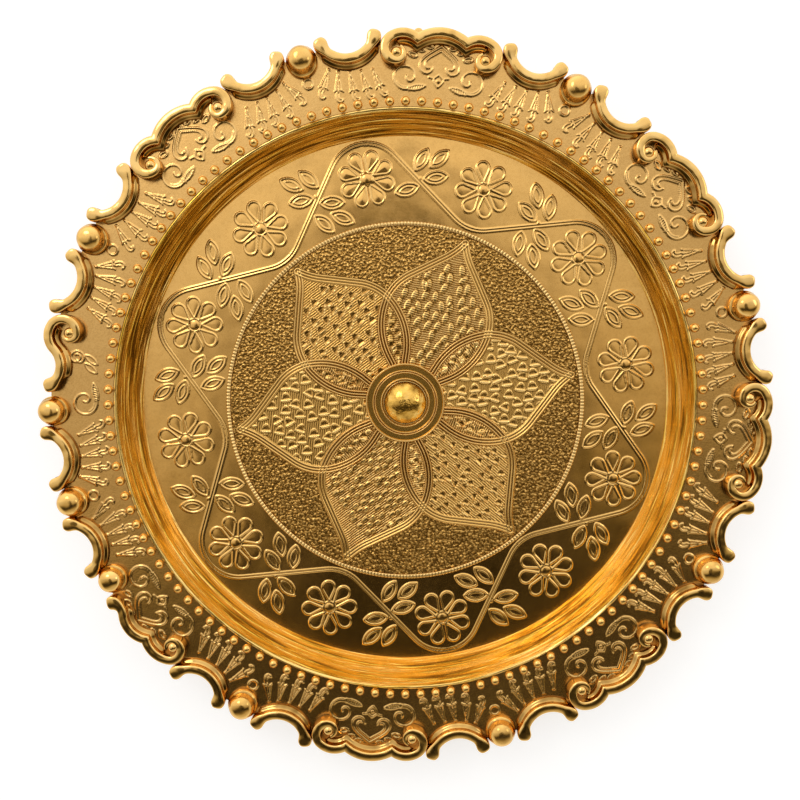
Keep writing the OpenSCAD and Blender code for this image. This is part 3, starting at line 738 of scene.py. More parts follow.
def crest_form(k):
    """Middle line, kinds of its two ends and volute eyes of the crest k.

    The two odd crests run from a volute to an upturned knob: one over two
    lobes, the other as an S. The rest are alike on both sides.
    """
    if k == ODD_B:
        path = walk((-8, BALL_RING_R + 3.7), -68,
                    [(9.8, 116), (8, -78), (5.6, -150), *CURL])
        return path, "knob", "volute", [(15.5, 140.45)]
    if k == ODD_A:
        first = walk((-14.4, BALL_RING_R + 4.4), -60, [(6, 95), (11.5, -75)])
        rest = walk(first[-1], 25, [(12, -65), (4.6, -140), *CURL])
        path = (np.concatenate([first, rest[1:]]) * [-1, 1])[::-1]
        return path, "volute", "knob", [(-18.04, 140.57)]
    lobe = walk((0, CREST_TOP), 0, [(16.7, -36.5)])
    rest = walk(lobe[-1], 35, [(9.2, -75), (5, -140), *CURL])
    right = np.concatenate([lobe, rest[1:]])
    path = np.concatenate([(right[1:] * [-1, 1])[::-1], right])
    return path, "volute", "volute", [(-17.93, 141.04), (17.93, 141.04)]


def ends(s, kind):
    """Half width and height factors of the band at s from an end.

    A knob widens the band and closes it as a half circle of radius KNOB_R;
    a volute thins it towards the eye.
    """
    if kind == "knob":
        swell = np.clip(1 - (s - KNOB_R) / 4.5, 0, 1)
        swell = swell * swell * (3 - 2 * swell)
        w = BAND_HALF_W + (KNOB_R - BAND_HALF_W) * swell
        u = np.clip(1 - s / KNOB_R, 0, 1)
        return w * np.sqrt(1 - u * u), 1 + 0.05 * swell - 0.35 * u ** 8
    thin = np.clip(s / 11.0, 0, 1)
    return BAND_HALF_W * (0.4 + 0.6 * thin), 0.88 + 0.12 * thin


def band_painted_light_and_patina(grid):
    """Detail values of a band: painted highlight on top, painted shade lower
    down and on the ledge, painted shade with patina in the seams.
    """
    rise = (grid[..., 2] - BORDER_Z) / BAND_H
    return toned(np.clip((rise - 0.3) * 1.6 - 0.75, -0.9, 0.2), grid)


def band_shell(path, left, right, step_from, step_to):
    """Band swept along a path in a casting's own frame.

    Section at half width w and height h: a foot, straight sides and the top
    (w cos t, h (0.66 + 0.34 sin^0.32 t)) for t from 0 to 180 degrees, then a
    low step on the inner side between two distances along the path.
    """
    d = np.diff(path, axis=0)
    s = np.append(0, np.cumsum(np.hypot(*d.T)))
    total = s[-1]
    # even stops, closer ones in the round of a knob, and the corners
    fine = KNOB_R * (1 - np.cos(np.linspace(0, math.pi / 2, 12)))
    bend = np.abs(np.diff(np.unwrap(np.arctan2(d[:, 1], d[:, 0]))))
    stops = np.unique(np.round(np.concatenate(
        [np.linspace(0, total, int(total / 0.55)), fine, total - fine,
         s[1:-1][bend > 0.3]]), 4))
    stops = stops[(stops >= 0) & (stops <= total)]
    mid = np.stack([np.interp(stops, s, xy) for xy in path.T], -1)
    t = np.diff(mid, axis=0)
    t /= np.linalg.norm(t, axis=1)[:, None]
    after = np.concatenate([t, t[-1:]])
    mean = np.concatenate([t[:1], t]) + after
    mean /= np.linalg.norm(mean, axis=1)[:, None]
    mitre = 1 / np.maximum((mean * after).sum(1), 0.5)
    normal = np.stack([-mean[:, 1], mean[:, 0]], -1) * mitre[:, None]
    first = stops < total / 2
    w, h = np.where(first, ends(stops, left), ends(total - stops, right))
    step = (np.clip((stops - step_from) / 1.2, 0, 1)
            * np.clip((step_to - stops) / 1.2, 0, 1))
    angle = np.radians([0, 5, 12, 22, 34, 48, 66, 90, 114, 132, 146, 158,
                        168, 175, 180])
    over = np.concatenate([[1.06, 1.06, 1.0], np.cos(angle), [-1.0]])
    height = np.concatenate([[0.0, 0.12, 0.16],
                             0.66 + 0.34 * np.sin(angle) ** 0.32, [0.5]])
    foot = step[:, None] * np.array([0.1, 0.35, 0.9, 1.4, 1.6, 1.6])
    body = np.concatenate([w[:, None] * over, -w[:, None] - foot], 1)
    ledge = BAND_H * np.array([0.44, 0.38, 0.33, 0.27, 0.2, 0.0])
    top = np.concatenate([BAND_H * h[:, None] * height,
                          np.broadcast_to(ledge, foot.shape)], 1)
    xy = mid[:, None] + normal[:, None] * body[..., None]
    return np.concatenate([xy, (BORDER_Z + top)[..., None]], -1)


def path_length(path):
    return np.hypot(*np.diff(path, axis=0).T).sum()


def casting(name, grid, angle, eyes=()):
    """Band in its place, with a domed drum as the eye of each volute."""
    # the band and the eyes get a painted highlight on top and painted shade
    # lower down
    shell = Shell().grid(turned(grid, angle), close_v=True,
                         value=band_painted_light_and_patina(grid)).caps(*grid.shape[:2])
    drum = [(0, 0), (EYE_R, 0), *quarter(0, BAND_H - EYE_R * 0.8, EYE_R, 8)]
    for eye in eyes:
        dome = revolved(drum, 24, eye) + [0, 0, BORDER_Z]
        shell.grid(turned(dome, angle), close_u=True,
                   value=band_painted_light_and_patina(dome))
    shell.piece(name + "_cast", name, "casting", 60)


def scroll_slots():
    """Angles and half angle of the sixteen C-scrolls, as the solids have."""
    def clear(x, y, r):
        d, a, b = r + KNOB_R + CASTING_GAP, math.hypot(x, y), KNOB_RING_R
        return math.degrees(math.acos((a * a + b * b - d * d) / (2 * a * b)))

    # middle and radius of the crest's bend beside a scroll
    shoulders = {ODD_A: (18.04, 142.17, 4.6 + BAND_HALF_W),
                 ODD_B: (15.50, 143.05, 5.6 + BAND_HALF_W)}
    slots = []
    for k, crest in enumerate(CREST_ANGLES):
        for side in (-1, 1):
            x, y, r = shoulders.get(k, (17.93, 143.04, 5 + BAND_HALF_W))
            if k in ODD_BALLS and side * ODD_BALLS[k][0] > 0:
                x, y, r = ODD_BALLS[k]
            near = math.degrees(math.atan2(abs(x), y)) + clear(x, y, r)
            far = HALF_SPACES[k] - clear(0, BALL_RING_R, BALL_R)
            slots.append((crest + side * (near + far) / 2, (far - near) / 2))
    half = min(s[1] for s in slots) + SCROLL_REACH
    return [s[0] for s in slots], half


def scroll_path(half):
    """Arc of a C-scroll, bent round a centre outside the rim."""
    chord = KNOB_RING_R * math.sin(math.radians(half))
    middle = KNOB_RING_R * math.cos(math.radians(half)) + SCROLL_OPEN
    r = math.hypot(chord, SCROLL_OPEN)
    lean = math.degrees(math.atan2(SCROLL_OPEN, chord))
    return arc((0, middle), r, 180 + lean, 360 - lean, 0.3)


def border_edge(angles):
    """Radius of the border plate's edge: the castings' middle lines."""
    edge = np.full(len(angles), BORDER_R + 2.8)
    scrolls, half = scroll_slots()
    runs = [(scroll_path(half), a) for a in scrolls]
    for k, a in enumerate(CREST_ANGLES):
        path = crest_form(k)[0]
        runs.append((path[path[:, 1] > BALL_RING_R - 1.5], a))
    for path, a in runs:
        own = np.degrees(np.arctan2(path[:, 0], path[:, 1]))
        order = np.argsort(own)
        local = (angles - a + 180) % 360 - 180
        on = (local > own.min()) & (local < own.max())
        edge[on] = np.interp(local[on], own[order], np.hypot(*path.T)[order])
    return edge


# Materials -------------------------------------------------------------------

class Link:
    """A shader socket; adding, subtracting and multiplying make nodes."""

    def __init__(self, shader, socket):
        self.shader, self.socket = shader, socket

    def maths(self, operation, *values, swap=False):
        order = [*values, self] if swap else [self, *values]
        return self.shader.add("Math", {"operation": operation},
                               dict(enumerate(order)))

    def other(self, n):
        """Output n of the same node."""
        return Link(self.shader, self.socket.node.outputs[n])

    def clamp(self, low, high):
        return self.maths("MAXIMUM", low).maths("MINIMUM", high)

    def __add__(self, other):
        return self.maths("ADD", other)

    def __sub__(self, other):
        return self.maths("SUBTRACT", other)

    def __rsub__(self, other):
        return self.maths("SUBTRACT", other, swap=True)

    def __mul__(self, other):
        return self.maths("MULTIPLY", other)

    __radd__, __rmul__ = __add__, __mul__


class Shader:
    """The node tree of a material or world, filled node by node."""

    def __init__(self, owner):
        owner.use_nodes = True
        self.tree = owner.node_tree
        self.tree.nodes.clear()

    def add(self, kind, settings=None, values=None, out=0):
        """Adds a node: settings first, then values or links by socket."""
        node = self.tree.nodes.new("ShaderNode" + kind)
        for name, value in (settings or {}).items():
            setattr(node, name, value)
        for name, value in (values or {}).items():
            if isinstance(value, Link):
                self.tree.links.new(value.socket, node.inputs[name])
            else:
                node.inputs[name].default_value = value
        return Link(self, node.outputs[out]) if node.outputs else None

    def split(self, vector):
        """The three parts of a vector."""
        x = self.add("SeparateXYZ", {}, {"Vector": vector})
        return x, x.other(1), x.other(2)

    def ramp(self, value, stops):
        """Colour ramp with a colour at each stop."""
        ramp = self.add("ValToRGB", {}, {0: value})
        row = ramp.socket.node.color_ramp.elements
        while len(row) < len(stops):
            row.new(0.5)
        for element, (at, colour) in zip(row, stops):
            element.position, element.color = at, (*colour, 1)
        return ramp

    def smooth(self, value, start, end, low, high):
        """From low to high, with soft ends, while the value rises."""
        return self.add("MapRange", {"interpolation_type": "SMOOTHSTEP"},
                        {0: value, 1: start, 2: end, 3: low, 4: high})

    def detail(self, out):
        return self.add("Attribute", {"attribute_name": "detail"}, out=out)

    def noise(self, vector, scale, detail=2.0):
        return self.add("TexNoise", {},
                        {"Vector": vector, "Scale": scale, "Detail": detail})

    def mix(self, factor, a, b, blend="MIX"):
        return self.add("Mix", {"data_type": "RGBA", "blend_type": blend},
                        {0: factor, 6: a, 7: b}, out=2)


def brass(name, look, grain=None):
    """Brass with cloudy colour, uneven polish and a fine grain.

    grain(shader, place) returns extra bump height in metres, a colour
    darkening and a roughness change, each a link or a number. The fourth
    detail channel is painted shade in hollows and painted highlights on edges.
    """
    material = bpy.data.materials.new(name)
    sh = Shader(material)
    spot = sh.add("TexCoord", out=3)
    tone = sh.detail(3)
    cloud = sh.noise(spot, 22.0, 3.0)
    fleck = sh.noise(spot, 420.0, 2.0)
    fine = sh.noise(spot, 2600.0, 2.0)
    height, dark, rough = grain(sh, spot) if grain else (0.0, 0.0, 0.0)
    colour = np.array(look.colour)
    deep = tuple(colour * [0.28, 0.23, 0.15, 1])
    pale = tuple(colour * 0.55 + [0.45, 0.34, 0.155, 0.45])
    tint = sh.mix((cloud - 0.3) * 0.25, tuple(colour), pale)
    # tone brings the painted shade and painted highlights into the colour
    shade = (fleck - 0.5) * look.mottle + dark - tone * 0.85
    tint = sh.mix((0.0 - shade).clamp(0.0, 1.0), tint, pale)
    tint = sh.mix(shade.clamp(0.0, 0.95), tint, deep)
    level = (cloud - 0.5) * 0.1 + (fleck - 0.5) * 0.1 + look.roughness + rough
    normal = sh.add("Bump", {}, {"Strength": 1.0, "Distance": 1.0,
                                 "Height": fine * look.grain + height})
    metal = sh.add("BsdfPrincipled", {}, {
        "Base Color": tint, "Metallic": 1.0,
        "Roughness": level.maths("MAXIMUM", 0.05), "Normal": normal})
    sh.add("OutputMaterial", {}, {"Surface": metal})
    return material


def spun_grain_and_sheen(sh, spot):
    """Streaks round the wall: noise over height and radius, slow round it. The
    bump is the spinning grain; its pale and dark colour streaks are painted
    sheen.
    """
    x, y, z = sh.split(spot)
    r = (x * x + y * y).maths("SQRT")

    def band(round_scale, height_scale, detail):
        place = sh.add("CombineXYZ", {}, {
            "X": x.maths("DIVIDE", r) * round_scale,
            "Y": y.maths("DIVIDE", r) * round_scale,
            "Z": (z + r) * height_scale})
        return sh.noise(place, 1.0, detail)

    streak, broad, thin = band(5, 650, 3), band(3, 230, 2), band(9, 1700, 1)
    # the colour streaks are painted sheen along the spinning grain
    return (streak * 0.0004 + broad * 0.0018 + thin * 0.00004,
            (broad - 0.52) * 5.5 + (streak - 0.52) * 4.0, (streak - 0.5) * 0.3)


def hammered_grain_and_shading(sh, spot):
    """Pebbles where the first detail is 1, hatching by the other two. The
    colour is darker in their hollows and paler on their crests: painted shade
    and painted highlights.
    """
    ground, phase, strength = sh.split(sh.detail(1))
    ground = ground.maths("MAXIMUM", 0.0)
    bend = sh.noise(spot, 260.0, 2.0)
    pebble = sh.add("TexVoronoi", {"feature": "SMOOTH_F1"},
                    {"Vector": spot, "Scale": 900.0, "Smoothness": 0.5})
    worm = sh.noise(spot, 900.0, 1.0)
    wave = ((phase + bend * 0.9) * (2 * math.pi)).maths("SINE") * strength
    rise = ground * ((1.0 - pebble) * 0.0003 + worm * 0.0006)
    # dark between the pebbles, in the low worm grain and in the hatch grooves,
    # pale on the crests: painted shade and painted highlights
    dark = ground * ((0.6 - worm) * 5.0 + pebble * 0.5) - wave + (
        1.0 - ground) * 0.1
    return rise + wave * 0.00017 + bend * 0.00003, dark, ground * 0.06


def floor_grain(sh, spot):
    """Faint waviness of hand-finished sheet, with small bright pits."""
    wave, pit = sh.noise(spot, 34.0), sh.noise(spot, 900.0, 1.0)
    return wave * 0.0005, (pit - 0.5) * 0.4, 0.0


def matt_grain(sh, spot):
    """Fine blasted grain of the border's ground."""
    sand, wave = sh.noise(spot, 1500.0), sh.noise(spot, 90.0)
    return sand * 0.000022 + wave * 0.0001, (sand - 0.5) * 0.7, 0.0


def cast_grain(sh, spot):
    """Soft unevenness left by casting and filing."""
    wave = sh.noise(spot, 170.0, 1.0)
    return wave * 0.0003, (wave - 0.5) * 1.6, (wave - 0.5) * 0.2


def boss_grain(sh, spot):
    """Cloudy tarnish on the worn centre boss."""
    wave = sh.noise(spot, 190.0, 3.0)
    return wave * 0.0008, (wave - 0.45) * 3.0, (wave - 0.5) * 0.5


# Sizes and finishes that a user would change ---------------------------------

def distance(name, words, default, low, high):
    return bpy.props.FloatProperty(
        name=name, description=words, default=default, min=low, max=high,
        subtype="DISTANCE", unit="LENGTH", precision=5)


class ThaliRelief(bpy.types.PropertyGroup):
    """Heights of the embossed and chased lines."""
    floor_line: distance("Floor lines", "Height of vine, flowers and leaves",
                         0.00036, 0.0002, 0.0008)
    border_line: distance("Border lines", "Height of the border's chasing",
                          0.00036, 0.0002, 0.0008)
    star_line: distance("Star lines", "Height of the star's ridges",
                        0.0006, 0.0002, 0.0009)
    chisel_mark: distance("Chisel marks", "Height of the marks in the star",
                          0.00042, 0.0001, 0.0008)


class ThaliFinish(bpy.types.PropertyGroup):
    """One brass finish."""
    colour: bpy.props.FloatVectorProperty(
        name="Colour", description="Colour of the bare metal", size=4,
        subtype="COLOR", min=0, max=1, default=(0.75, 0.5, 0.2, 1))
    roughness: bpy.props.FloatProperty(
        name="Roughness", description="0 is a mirror, 1 is matt",
        subtype="FACTOR", min=0, max=1, default=0.3)
    mottle: bpy.props.FloatProperty(
        name="Mottle", description="Strength of small dark flecks",
        subtype="FACTOR", min=0, max=1, default=0.2)
    grain: distance("Grain", "Height of the finest grain", 4e-6, 0, 5e-5)


# Colour, roughness, mottle, height of the finest grain, further grain (with
# painted sheen on pan and painted shade and highlights on chased)
FINISHES = {
    "pan": ((0.79, 0.465, 0.055, 1), 0.22, 0.2, 1e-6, spun_grain_and_sheen),
    "floor": ((0.84, 0.475, 0.135, 1), 0.17, 0.12, 5e-7, floor_grain),
    "chased": ((0.79, 0.45, 0.12, 1), 0.22, 0.2, 4e-6, hammered_grain_and_shading),
    "milled": ((0.76, 0.47, 0.16, 1), 0.26, 0.2, 2e-6, None),
    "collar": ((0.72, 0.41, 0.09, 1), 0.22, 0.4, 2e-6, floor_grain),
    "border": ((0.71, 0.405, 0.125, 1), 0.21, 0.2, 3e-6, matt_grain),
    "casting": ((0.83, 0.50, 0.15, 1), 0.12, 0.2, 5e-7, cast_grain),
    "ball": ((0.82, 0.48, 0.13, 1), 0.17, 0.3, 5e-7, cast_grain),
    "boss": ((0.82, 0.47, 0.09, 1), 0.2, 0.6, 2e-6, boss_grain),
    "polished": ((0.84, 0.50, 0.14, 1), 0.2, 0.2, 2e-6, None),
}


def finish(name):
    """The material of that finish, made on first use."""
    known = bpy.data.materials.get("brass_" + name)
    if known:
        return known
    colour, roughness, mottle, grain, extra = FINISHES[name]
    item = bpy.context.scene.thali_finishes.add()
    item.name, item.colour, item.roughness = name, colour, roughness
    item.mottle, item.grain = mottle, grain
    return brass("brass_" + name, item, extra)


# Operators -------------------------------------------------------------------

class THALI_OT_pan(bpy.types.Operator):
    """Spun pan: wall, lip, flange and the flat underside"""
    bl_idname = "thali.pan"
    bl_label = "Pan"

    def execute(self, context):
        run = (WALL_TOP_R - FOOT_R) / (LIP_Z - FLOOR_Z)
        t = np.linspace(0, 1, 14)
        cove = 0.9 * (1 - np.sin(np.radians(t * 90)))
        wall = np.stack([FOOT_R - cove + run * (LIP_Z - 0.5 - FLOOR_Z) * t,
                         FLOOR_Z + 0.1 + (LIP_Z - 0.7 - FLOOR_Z) * t], -1)
        lip = rounded_ring(WALL_TOP_R, LIP_R, FLANGE_Z, LIP_Z, 0.55, 0.05)[1:]
        under = [(PAN_FLANGE_R, FLANGE_Z), (PAN_FLANGE_R, FLANGE_Z - SHEET_T),
                 (WALL_TOP_R + 2.4, FLANGE_Z - SHEET_T),
                 (WALL_TOP_R + 1.0, FLANGE_Z - SHEET_T - 1.0),
                 (FOOT_R + 1.25, FLOOR_Z + 0.2), (FOOT_R + 0.4, RECESS_T),
                 (FOOT_R - 1.2, 0.0), (FOOT_R - 21.2, 0.0),
                 (FOOT_R - 21.7, RECESS_T), (SHANK_HOLE_R, RECESS_T),
                 (SHANK_HOLE_R, FLOOR_Z), (FOOT_R - 2.0, FLOOR_Z)]
        grid = revolved(np.concatenate([wall, lip, under]), 512)
        z, r = grid[..., 2], np.hypot(grid[..., 0], grid[..., 1])
        # the lip's top and the cove at the wall's foot are painted pale:
        # painted highlights
        foot = (r < FOOT_R + 0.6) & (z > FLOOR_Z) & (z < FLOOR_Z + 2)
        round_piece("spun_pan", "base_pan", "pan", 35, grid,
                    (z > LIP_Z - 0.5) * 0.9 + foot * 0.5)
        return {"FINISHED"}


class THALI_OT_floor(bpy.types.Operator):
    """Embossed floor plate with its vine, flowers and leaves"""
    bl_idname = "thali.floor"
    bl_label = "Floor plate"

    def execute(self, context):
        radii = np.concatenate([[SHANK_HOLE_R, 40, 75, 77.6],
                                np.arange(78.2, PLATE_R - 0.3, 0.335),
                                [PLATE_R - 0.25, PLATE_R]])
        plate("floor_plate", "floor", floor_relief, radii,
              np.arange(-10, 351, 90), 620, (PLATE_Z, FLOOR_Z))
        return {"FINISHED"}


class THALI_OT_medallion(bpy.types.Operator):
    """Chased medallion plate with the six-petal star"""
    bl_idname = "thali.medallion"
    bl_label = "Medallion plate"

    def execute(self, context):
        radii = np.concatenate([[SHANK_HOLE_R, 9, 16.6],
                                np.arange(16.9, MEDALLION_R - 0.2, 0.315),
                                [MEDALLION_R]])
        plate("medallion_plate", "chased", medallion_relief, radii,
              [-9.4, 110.6, 230.6, 350.6], 510, (MEDALLION_Z, PLATE_Z))
        return {"FINISHED"}


class THALI_OT_centre(bpy.types.Operator):
    """Milled ring, ridged collar and domed centre boss"""
    bl_idname = "thali.centre"
    bl_label = "Ring, collar and boss"

    def execute(self, context):
        section = rounded_ring(RING_IN_R, RING_OUT_R, PLATE_Z,
                               PLATE_Z + RING_H, 0.6, 0.05)
        per_tooth = 6
        grid = revolved(section, RING_TEETH * per_tooth)
        turn = 2 * math.pi * np.arange(len(grid)) / per_tooth
        wave = 0.5 - 0.5 * np.cos(turn)
        top = np.clip(section[:, 1] - PLATE_Z, 0, RING_H) / RING_H
        grid[..., 2] -= TOOTH_DEPTH * wave[:, None] * top ** 2
        # the teeth are painted pale on top and dark in the notches: painted
        # highlights and painted shade
        round_piece("milled_ring_teeth", "milled_ring", "milled", 80, grid,
                    1.1 - 1.9 * wave[:, None] ** 1.5)

        flat = MEDALLION_Z + 1.0
        t = np.linspace(-1, 1, 9)
        ridges = [(r + half_w * a, flat + rise * (1 - a * a) ** 0.8)
                  for r, half_w, rise in COLLAR_RIDGES for a in t]
        grid = revolved([(SHANK_HOLE_R, MEDALLION_Z), (SHANK_HOLE_R, flat),
                         *ridges, (COLLAR_R + 0.05, MEDALLION_Z + 0.7),
                         (COLLAR_R + 0.05, MEDALLION_Z)], 256)
        # the ridge tops are painted pale: painted highlights
        round_piece("ridged_collar", "centre_collar", "collar", 60, grid,
                    np.clip((grid[..., 2] - flat - 0.1) * 5, 0, 1.2))

        t = np.radians(np.linspace(0, 90, 22))
        dome = [(BOSS_R * math.cos(a) ** 0.9,
                 BOSS_Z + BOSS_RISE * math.sin(a) ** 1.7) for a in t[:-1]]
        grid = revolved([(0, 0.1), (RIVET_R, 0.1), (RIVET_R, RECESS_T),
                         (SHANK_R, RECESS_T), (SHANK_R, BOSS_Z - 0.15),
                         (BOSS_R - 0.3, BOSS_Z - 0.15), *dome,
                         (0, BOSS_Z + BOSS_RISE)], 128)
        round_piece("domed_boss", "centre_boss", "boss", 40, grid, ring=False)
        return {"FINISHED"}


class THALI_OT_border(bpy.types.Operator):
    """Embossed border plate with its scalloped edge"""
    bl_idname = "thali.border"
    bl_label = "Border plate"

    def execute(self, context):
        radii = np.append(np.arange(LIP_R + 0.1, BORDER_R, 0.31), BORDER_R)
        plate("border_plate", "border", border_relief, radii,
              np.append(BALL_ANGLES[::2], BALL_ANGLES[0] + 360), 740,
              (BORDER_Z, FLANGE_Z), border_edge)
        return {"FINISHED"}


class THALI_OT_beads(bpy.types.Operator):
    """Row of round-headed beads round the well"""
    bl_idname = "thali.beads"
    bl_label = "Beads"

    def execute(self, context):
        one = revolved([(0, 0), *quarter(0, 0, BEAD_R, 6)], 14)
        shell = Shell()
        for n in range(BEADS):
            spot = turned([0.0, BEAD_RING_R], 360 * n / BEADS)
            shell.grid(one + [*spot, BORDER_Z], close_u=True)
        shell.piece("bead_row", "rim_beads", "polished", 50)
        return {"FINISHED"}


class THALI_OT_scrolls(bpy.types.Operator):
    """Sixteen C-shaped scroll castings"""
    bl_idname = "thali.scrolls"
    bl_label = "C-scrolls"

    def execute(self, context):
        angles, half = scroll_slots()
        path = scroll_path(half)
        length = path_length(path) + 2 * KNOB_R
        # the knobs reach past both ends
        before, after = path[0] - path[1], path[-1] - path[-2]
        path = np.concatenate([
            [path[0] + before / np.linalg.norm(before) * KNOB_R * 0.9], path,
            [path[-1] + after / np.linalg.norm(after) * KNOB_R * 0.9]])
        grid = band_shell(path, "knob", "knob", length * 0.16, length * 0.84)
        for n, angle in enumerate(angles):
            casting(f"c_scroll_{n + 1:02d}", grid, angle)
        return {"FINISHED"}


class THALI_OT_crests(bpy.types.Operator):
    """Eight crest castings, two of them odd"""
    bl_idname = "thali.crests"
    bl_label = "Crests"

    def execute(self, context):
        # distance from each kind of end to the inner step
        lead = {"knob": 8, "volute": 22}
        for k, angle in enumerate(CREST_ANGLES):
            path, left, right, eyes = crest_form(k)
            grid = band_shell(path, left, right, lead[left],
                              path_length(path) - lead[right])
            casting(f"crest_{k + 1:02d}", grid, angle, eyes)
        return {"FINISHED"}


class THALI_OT_balls(bpy.types.Operator):
    """Ten turned balls on stepped feet"""
    bl_idname = "thali.balls"
    bl_label = "Rim balls"

    def execute(self, context):
        balls = [(0, BALL_RING_R, BALL_R, angle) for angle in BALL_ANGLES]
        balls += [(*ODD_BALLS[k], CREST_ANGLES[k]) for k in (ODD_A, ODD_B)]
        t = np.radians(np.linspace(2, 90, 20))[:-1]
        for n, (x, y, r, angle) in enumerate(balls):
            top = r - 0.8
            grid = revolved(
                [(0, 0), (r, 0), (r, 1.0), (r - 0.1, 1.6), (r - 0.45, 2.1),
                 (r - 0.9, 2.3), (r - 1.05, 2.6),
                 *[(top * math.cos(a) ** 0.74, 2.6 + 0.92 * top * math.sin(a))
                   for a in t], (0, 2.6 + 0.92 * top)],
                64, turned([x, y], angle)) + [0, 0, BORDER_Z]
            # painted shade with patina at the base, a painted highlight on the
            # foot's rounded edge and painted shade in the step under the ball
            tone = np.zeros(grid.shape[:2])
            tone[:, :2], tone[:, 3:6] = -0.8, (0.5, -0.6, -0.9)
            name = f"rim_ball_{n + 1:02d}"
            round_piece(name + "_turned", name, "ball", 60, grid, tone, False)
        return {"FINISHED"}


class THALI_OT_lug(bpy.types.Operator):
    """Small round lug behind the top crest"""
    bl_idname = "thali.lug"
    bl_label = "Lug"

    def execute(self, context):
        low, high = np.array(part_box("rim_lug")) / MM
        angle = CREST_ANGLES[0]
        x, y = turned(high[:2] - 2, -angle)
        head = revolved(
            [(0, low[2]), (1.6, low[2]), (2, low[2] + 0.4),
             *quarter(1.4, high[2] - 0.6, 0.6, 6), (0, high[2])], 32, (x, y))
        bar = rounded_ring(-1, 1, low[2], low[2] + 1, 0.3)
        bar = np.stack([[(x + side, y - back, z) for side, z in bar]
                        for back in np.linspace(0.5, 7.4, 6)])
        shell = Shell().grid(turned(head, angle), close_u=True)
        shell.grid(turned(bar, angle), close_v=True).caps(*bar.shape[:2])
        shell.piece("hanging_lug", "rim_lug", "casting", 50)
        return {"FINISHED"}


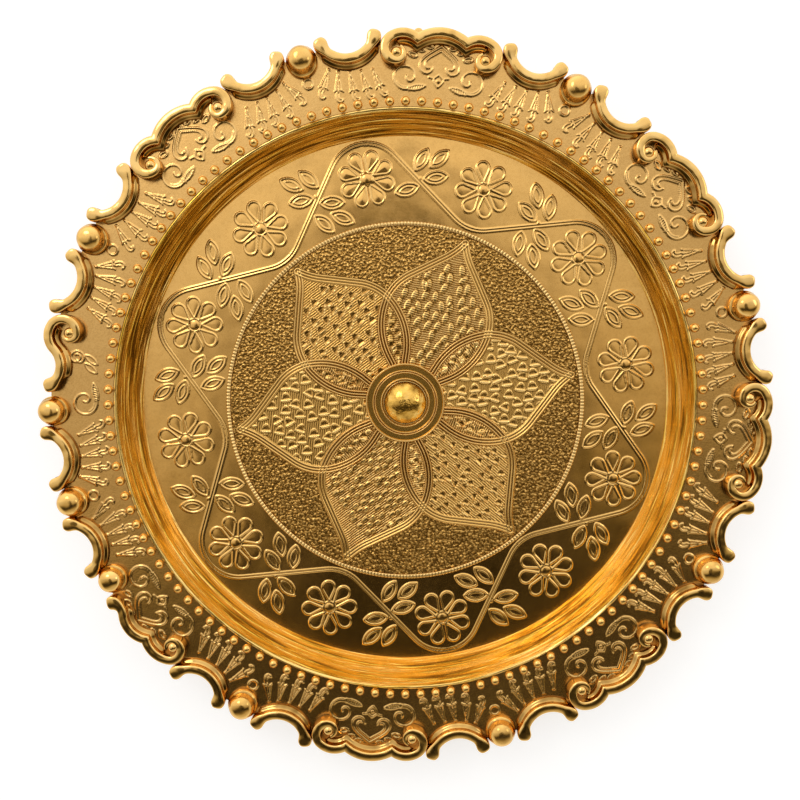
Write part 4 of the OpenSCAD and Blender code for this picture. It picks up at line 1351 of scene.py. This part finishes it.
class THALI_OT_stage(bpy.types.Operator):
    """Pale floor, studio lights and the camera"""
    bl_idname = "thali.stage"
    bl_label = "Stage"

    def execute(self, context):
        scene = context.scene
        x = np.linspace(-2000, 2000, 3)
        ground = np.stack([*np.meshgrid(x, x, indexing="ij"),
                           np.full((3, 3), -0.05)], -1)
        mesh = bpy.data.meshes.new("paper")
        shell = Shell().grid(ground)
        mesh.from_pydata(shell.points[0] * MM, [], shell.faces)
        paper = linked("paper", mesh)
        material = bpy.data.materials.new("paper")
        mesh.materials.append(material)
        sh = Shader(material)
        white = sh.add("BsdfDiffuse", {}, {"Color": (0.92, 0.92, 0.93, 1)})
        glow = sh.add("Emission", {}, {"Color": (1, 1, 1, 1),
                                       "Strength": 1.5})
        rays = sh.add("LightPath")
        seen = (rays + rays.other(3)).maths("MINIMUM", 1.0) * 0.42
        both = sh.add("MixShader", {}, {0: seen, 1: white, 2: glow})
        sh.add("OutputMaterial", {}, {"Surface": both})

        world = bpy.data.worlds.new("studio")
        scene.world = world
        sh = Shader(world)
        way = sh.add("TexCoord")
        x, y, z = sh.split(way)
        # brightness over the lean of the direction towards -Y and +Y
        grey = [(0.0, 0.75), (0.12, 0.65), (0.2, 0.3), (0.26, 0.045),
                (0.335, 0.04), (0.365, 0.08), (0.39, 0.2), (0.415, 0.4),
                (0.436, 0.6), (0.5, 0.72), (0.585, 0.87), (0.625, 1.1),
                (0.75, 1.15), (0.9, 1.4), (1.0, 1.6)]
        sky = sh.ramp((y - x * 0.2) * 0.5 + 0.5,
                      [(at, (v, v, v)) for at, v in grey])
        # pale walls all round, low down
        sky = sky.maths("MAXIMUM", sh.smooth(z, 0.22, 0.62, 0.9, 0.0))
        # dark shapes overhead, a broad one and a small one
        for middle, rim, core in (((0.0, -0.10, 0.995), 0.966, 0.979),
                                  ((-0.012, 0.135, 0.991), 0.9945, 0.998)):
            near = sh.add("VectorMath", {"operation": "DOT_PRODUCT"},
                          {0: way, 1: middle}, out=1)
            sky = sh.mix(1.0, sky, sh.smooth(near, rim, core, 1.0, 0.2),
                         "MULTIPLY")
        # the dim side of the room is warm
        warmth = sh.ramp(sky, [(0.0, (1, 0.82, 0.42)), (0.5, (1, 0.88, 0.58)),
                               (0.8, (1, 1, 1))])
        sky = sh.mix(1.0, sky, warmth, "MULTIPLY")
        back = sh.add("Background", {}, {"Color": sky, "Strength": 1.0})
        sh.add("OutputWorld", {}, {"Surface": back})

        for name, spot, size, power in (
                ("key", (-0.45, 0.55, 0.75), 0.35, 1.1),
                ("side", (0.7, 0.25, 0.5), 0.3, 0.3)):
            light = bpy.data.lights.new(name, "AREA")
            light.shape, light.size, light.energy = "DISK", size, power
            lamp = linked(name, light)
            lamp.location = spot
            # turned so that it shines on the origin
            x, y, z = spot
            lamp.rotation_euler = (math.acos(z / math.hypot(x, y, z)), 0,
                                   math.atan2(-x, y) + math.pi)

        # fitted to the photo: focal length 783 pixels of 800, lean and gap
        lens = bpy.data.cameras.new("camera")
        lens.sensor_width = 36
        lens.lens = 36 * 783 / 800
        lens.clip_start = 0.01
        camera = linked("camera", lens)
        lean, gap = math.radians(3.85), 0.3458
        camera.location = (-0.00229, 0.00087 + gap * math.sin(lean),
                           gap * math.cos(lean))
        camera.rotation_euler = (-lean, 0, 0)
        scene.camera = camera
        scene.view_settings.view_transform = "Standard"
        return {"FINISHED"}


OPERATORS = (THALI_OT_pan, THALI_OT_floor, THALI_OT_medallion,
             THALI_OT_centre, THALI_OT_border, THALI_OT_beads,
             THALI_OT_scrolls, THALI_OT_crests, THALI_OT_balls,
             THALI_OT_lug, THALI_OT_stage)


class THALI_PT_panel(bpy.types.Panel):
    """Lists the plate's pieces"""
    bl_idname = "THALI_PT_panel"
    bl_label = "Thali plate"
    bl_space_type = "VIEW_3D"
    bl_region_type = "UI"
    bl_category = "Thali plate"

    def draw(self, context):
        for operator in OPERATORS:
            self.layout.operator(operator.bl_idname)


CLASSES = (ThaliRelief, ThaliFinish, *OPERATORS, THALI_PT_panel)


def register():
    for item in CLASSES:
        bpy.utils.register_class(item)
    bpy.types.Scene.thali_relief = bpy.props.PointerProperty(type=ThaliRelief)
    bpy.types.Scene.thali_finishes = bpy.props.CollectionProperty(
        type=ThaliFinish)


def unregister():
    del bpy.types.Scene.thali_finishes
    del bpy.types.Scene.thali_relief
    for item in reversed(CLASSES):
        bpy.utils.unregister_class(item)


def main():
    register()
    bpy.ops.thali.pan()
    bpy.ops.thali.floor()
    bpy.ops.thali.medallion()
    bpy.ops.thali.centre()
    bpy.ops.thali.border()
    bpy.ops.thali.beads()
    bpy.ops.thali.scrolls()
    bpy.ops.thali.crests()
    bpy.ops.thali.balls()
    bpy.ops.thali.lug()
    bpy.ops.thali.stage()
    bpy.context.view_layer.update()


if __name__ == "__main__":
    main()
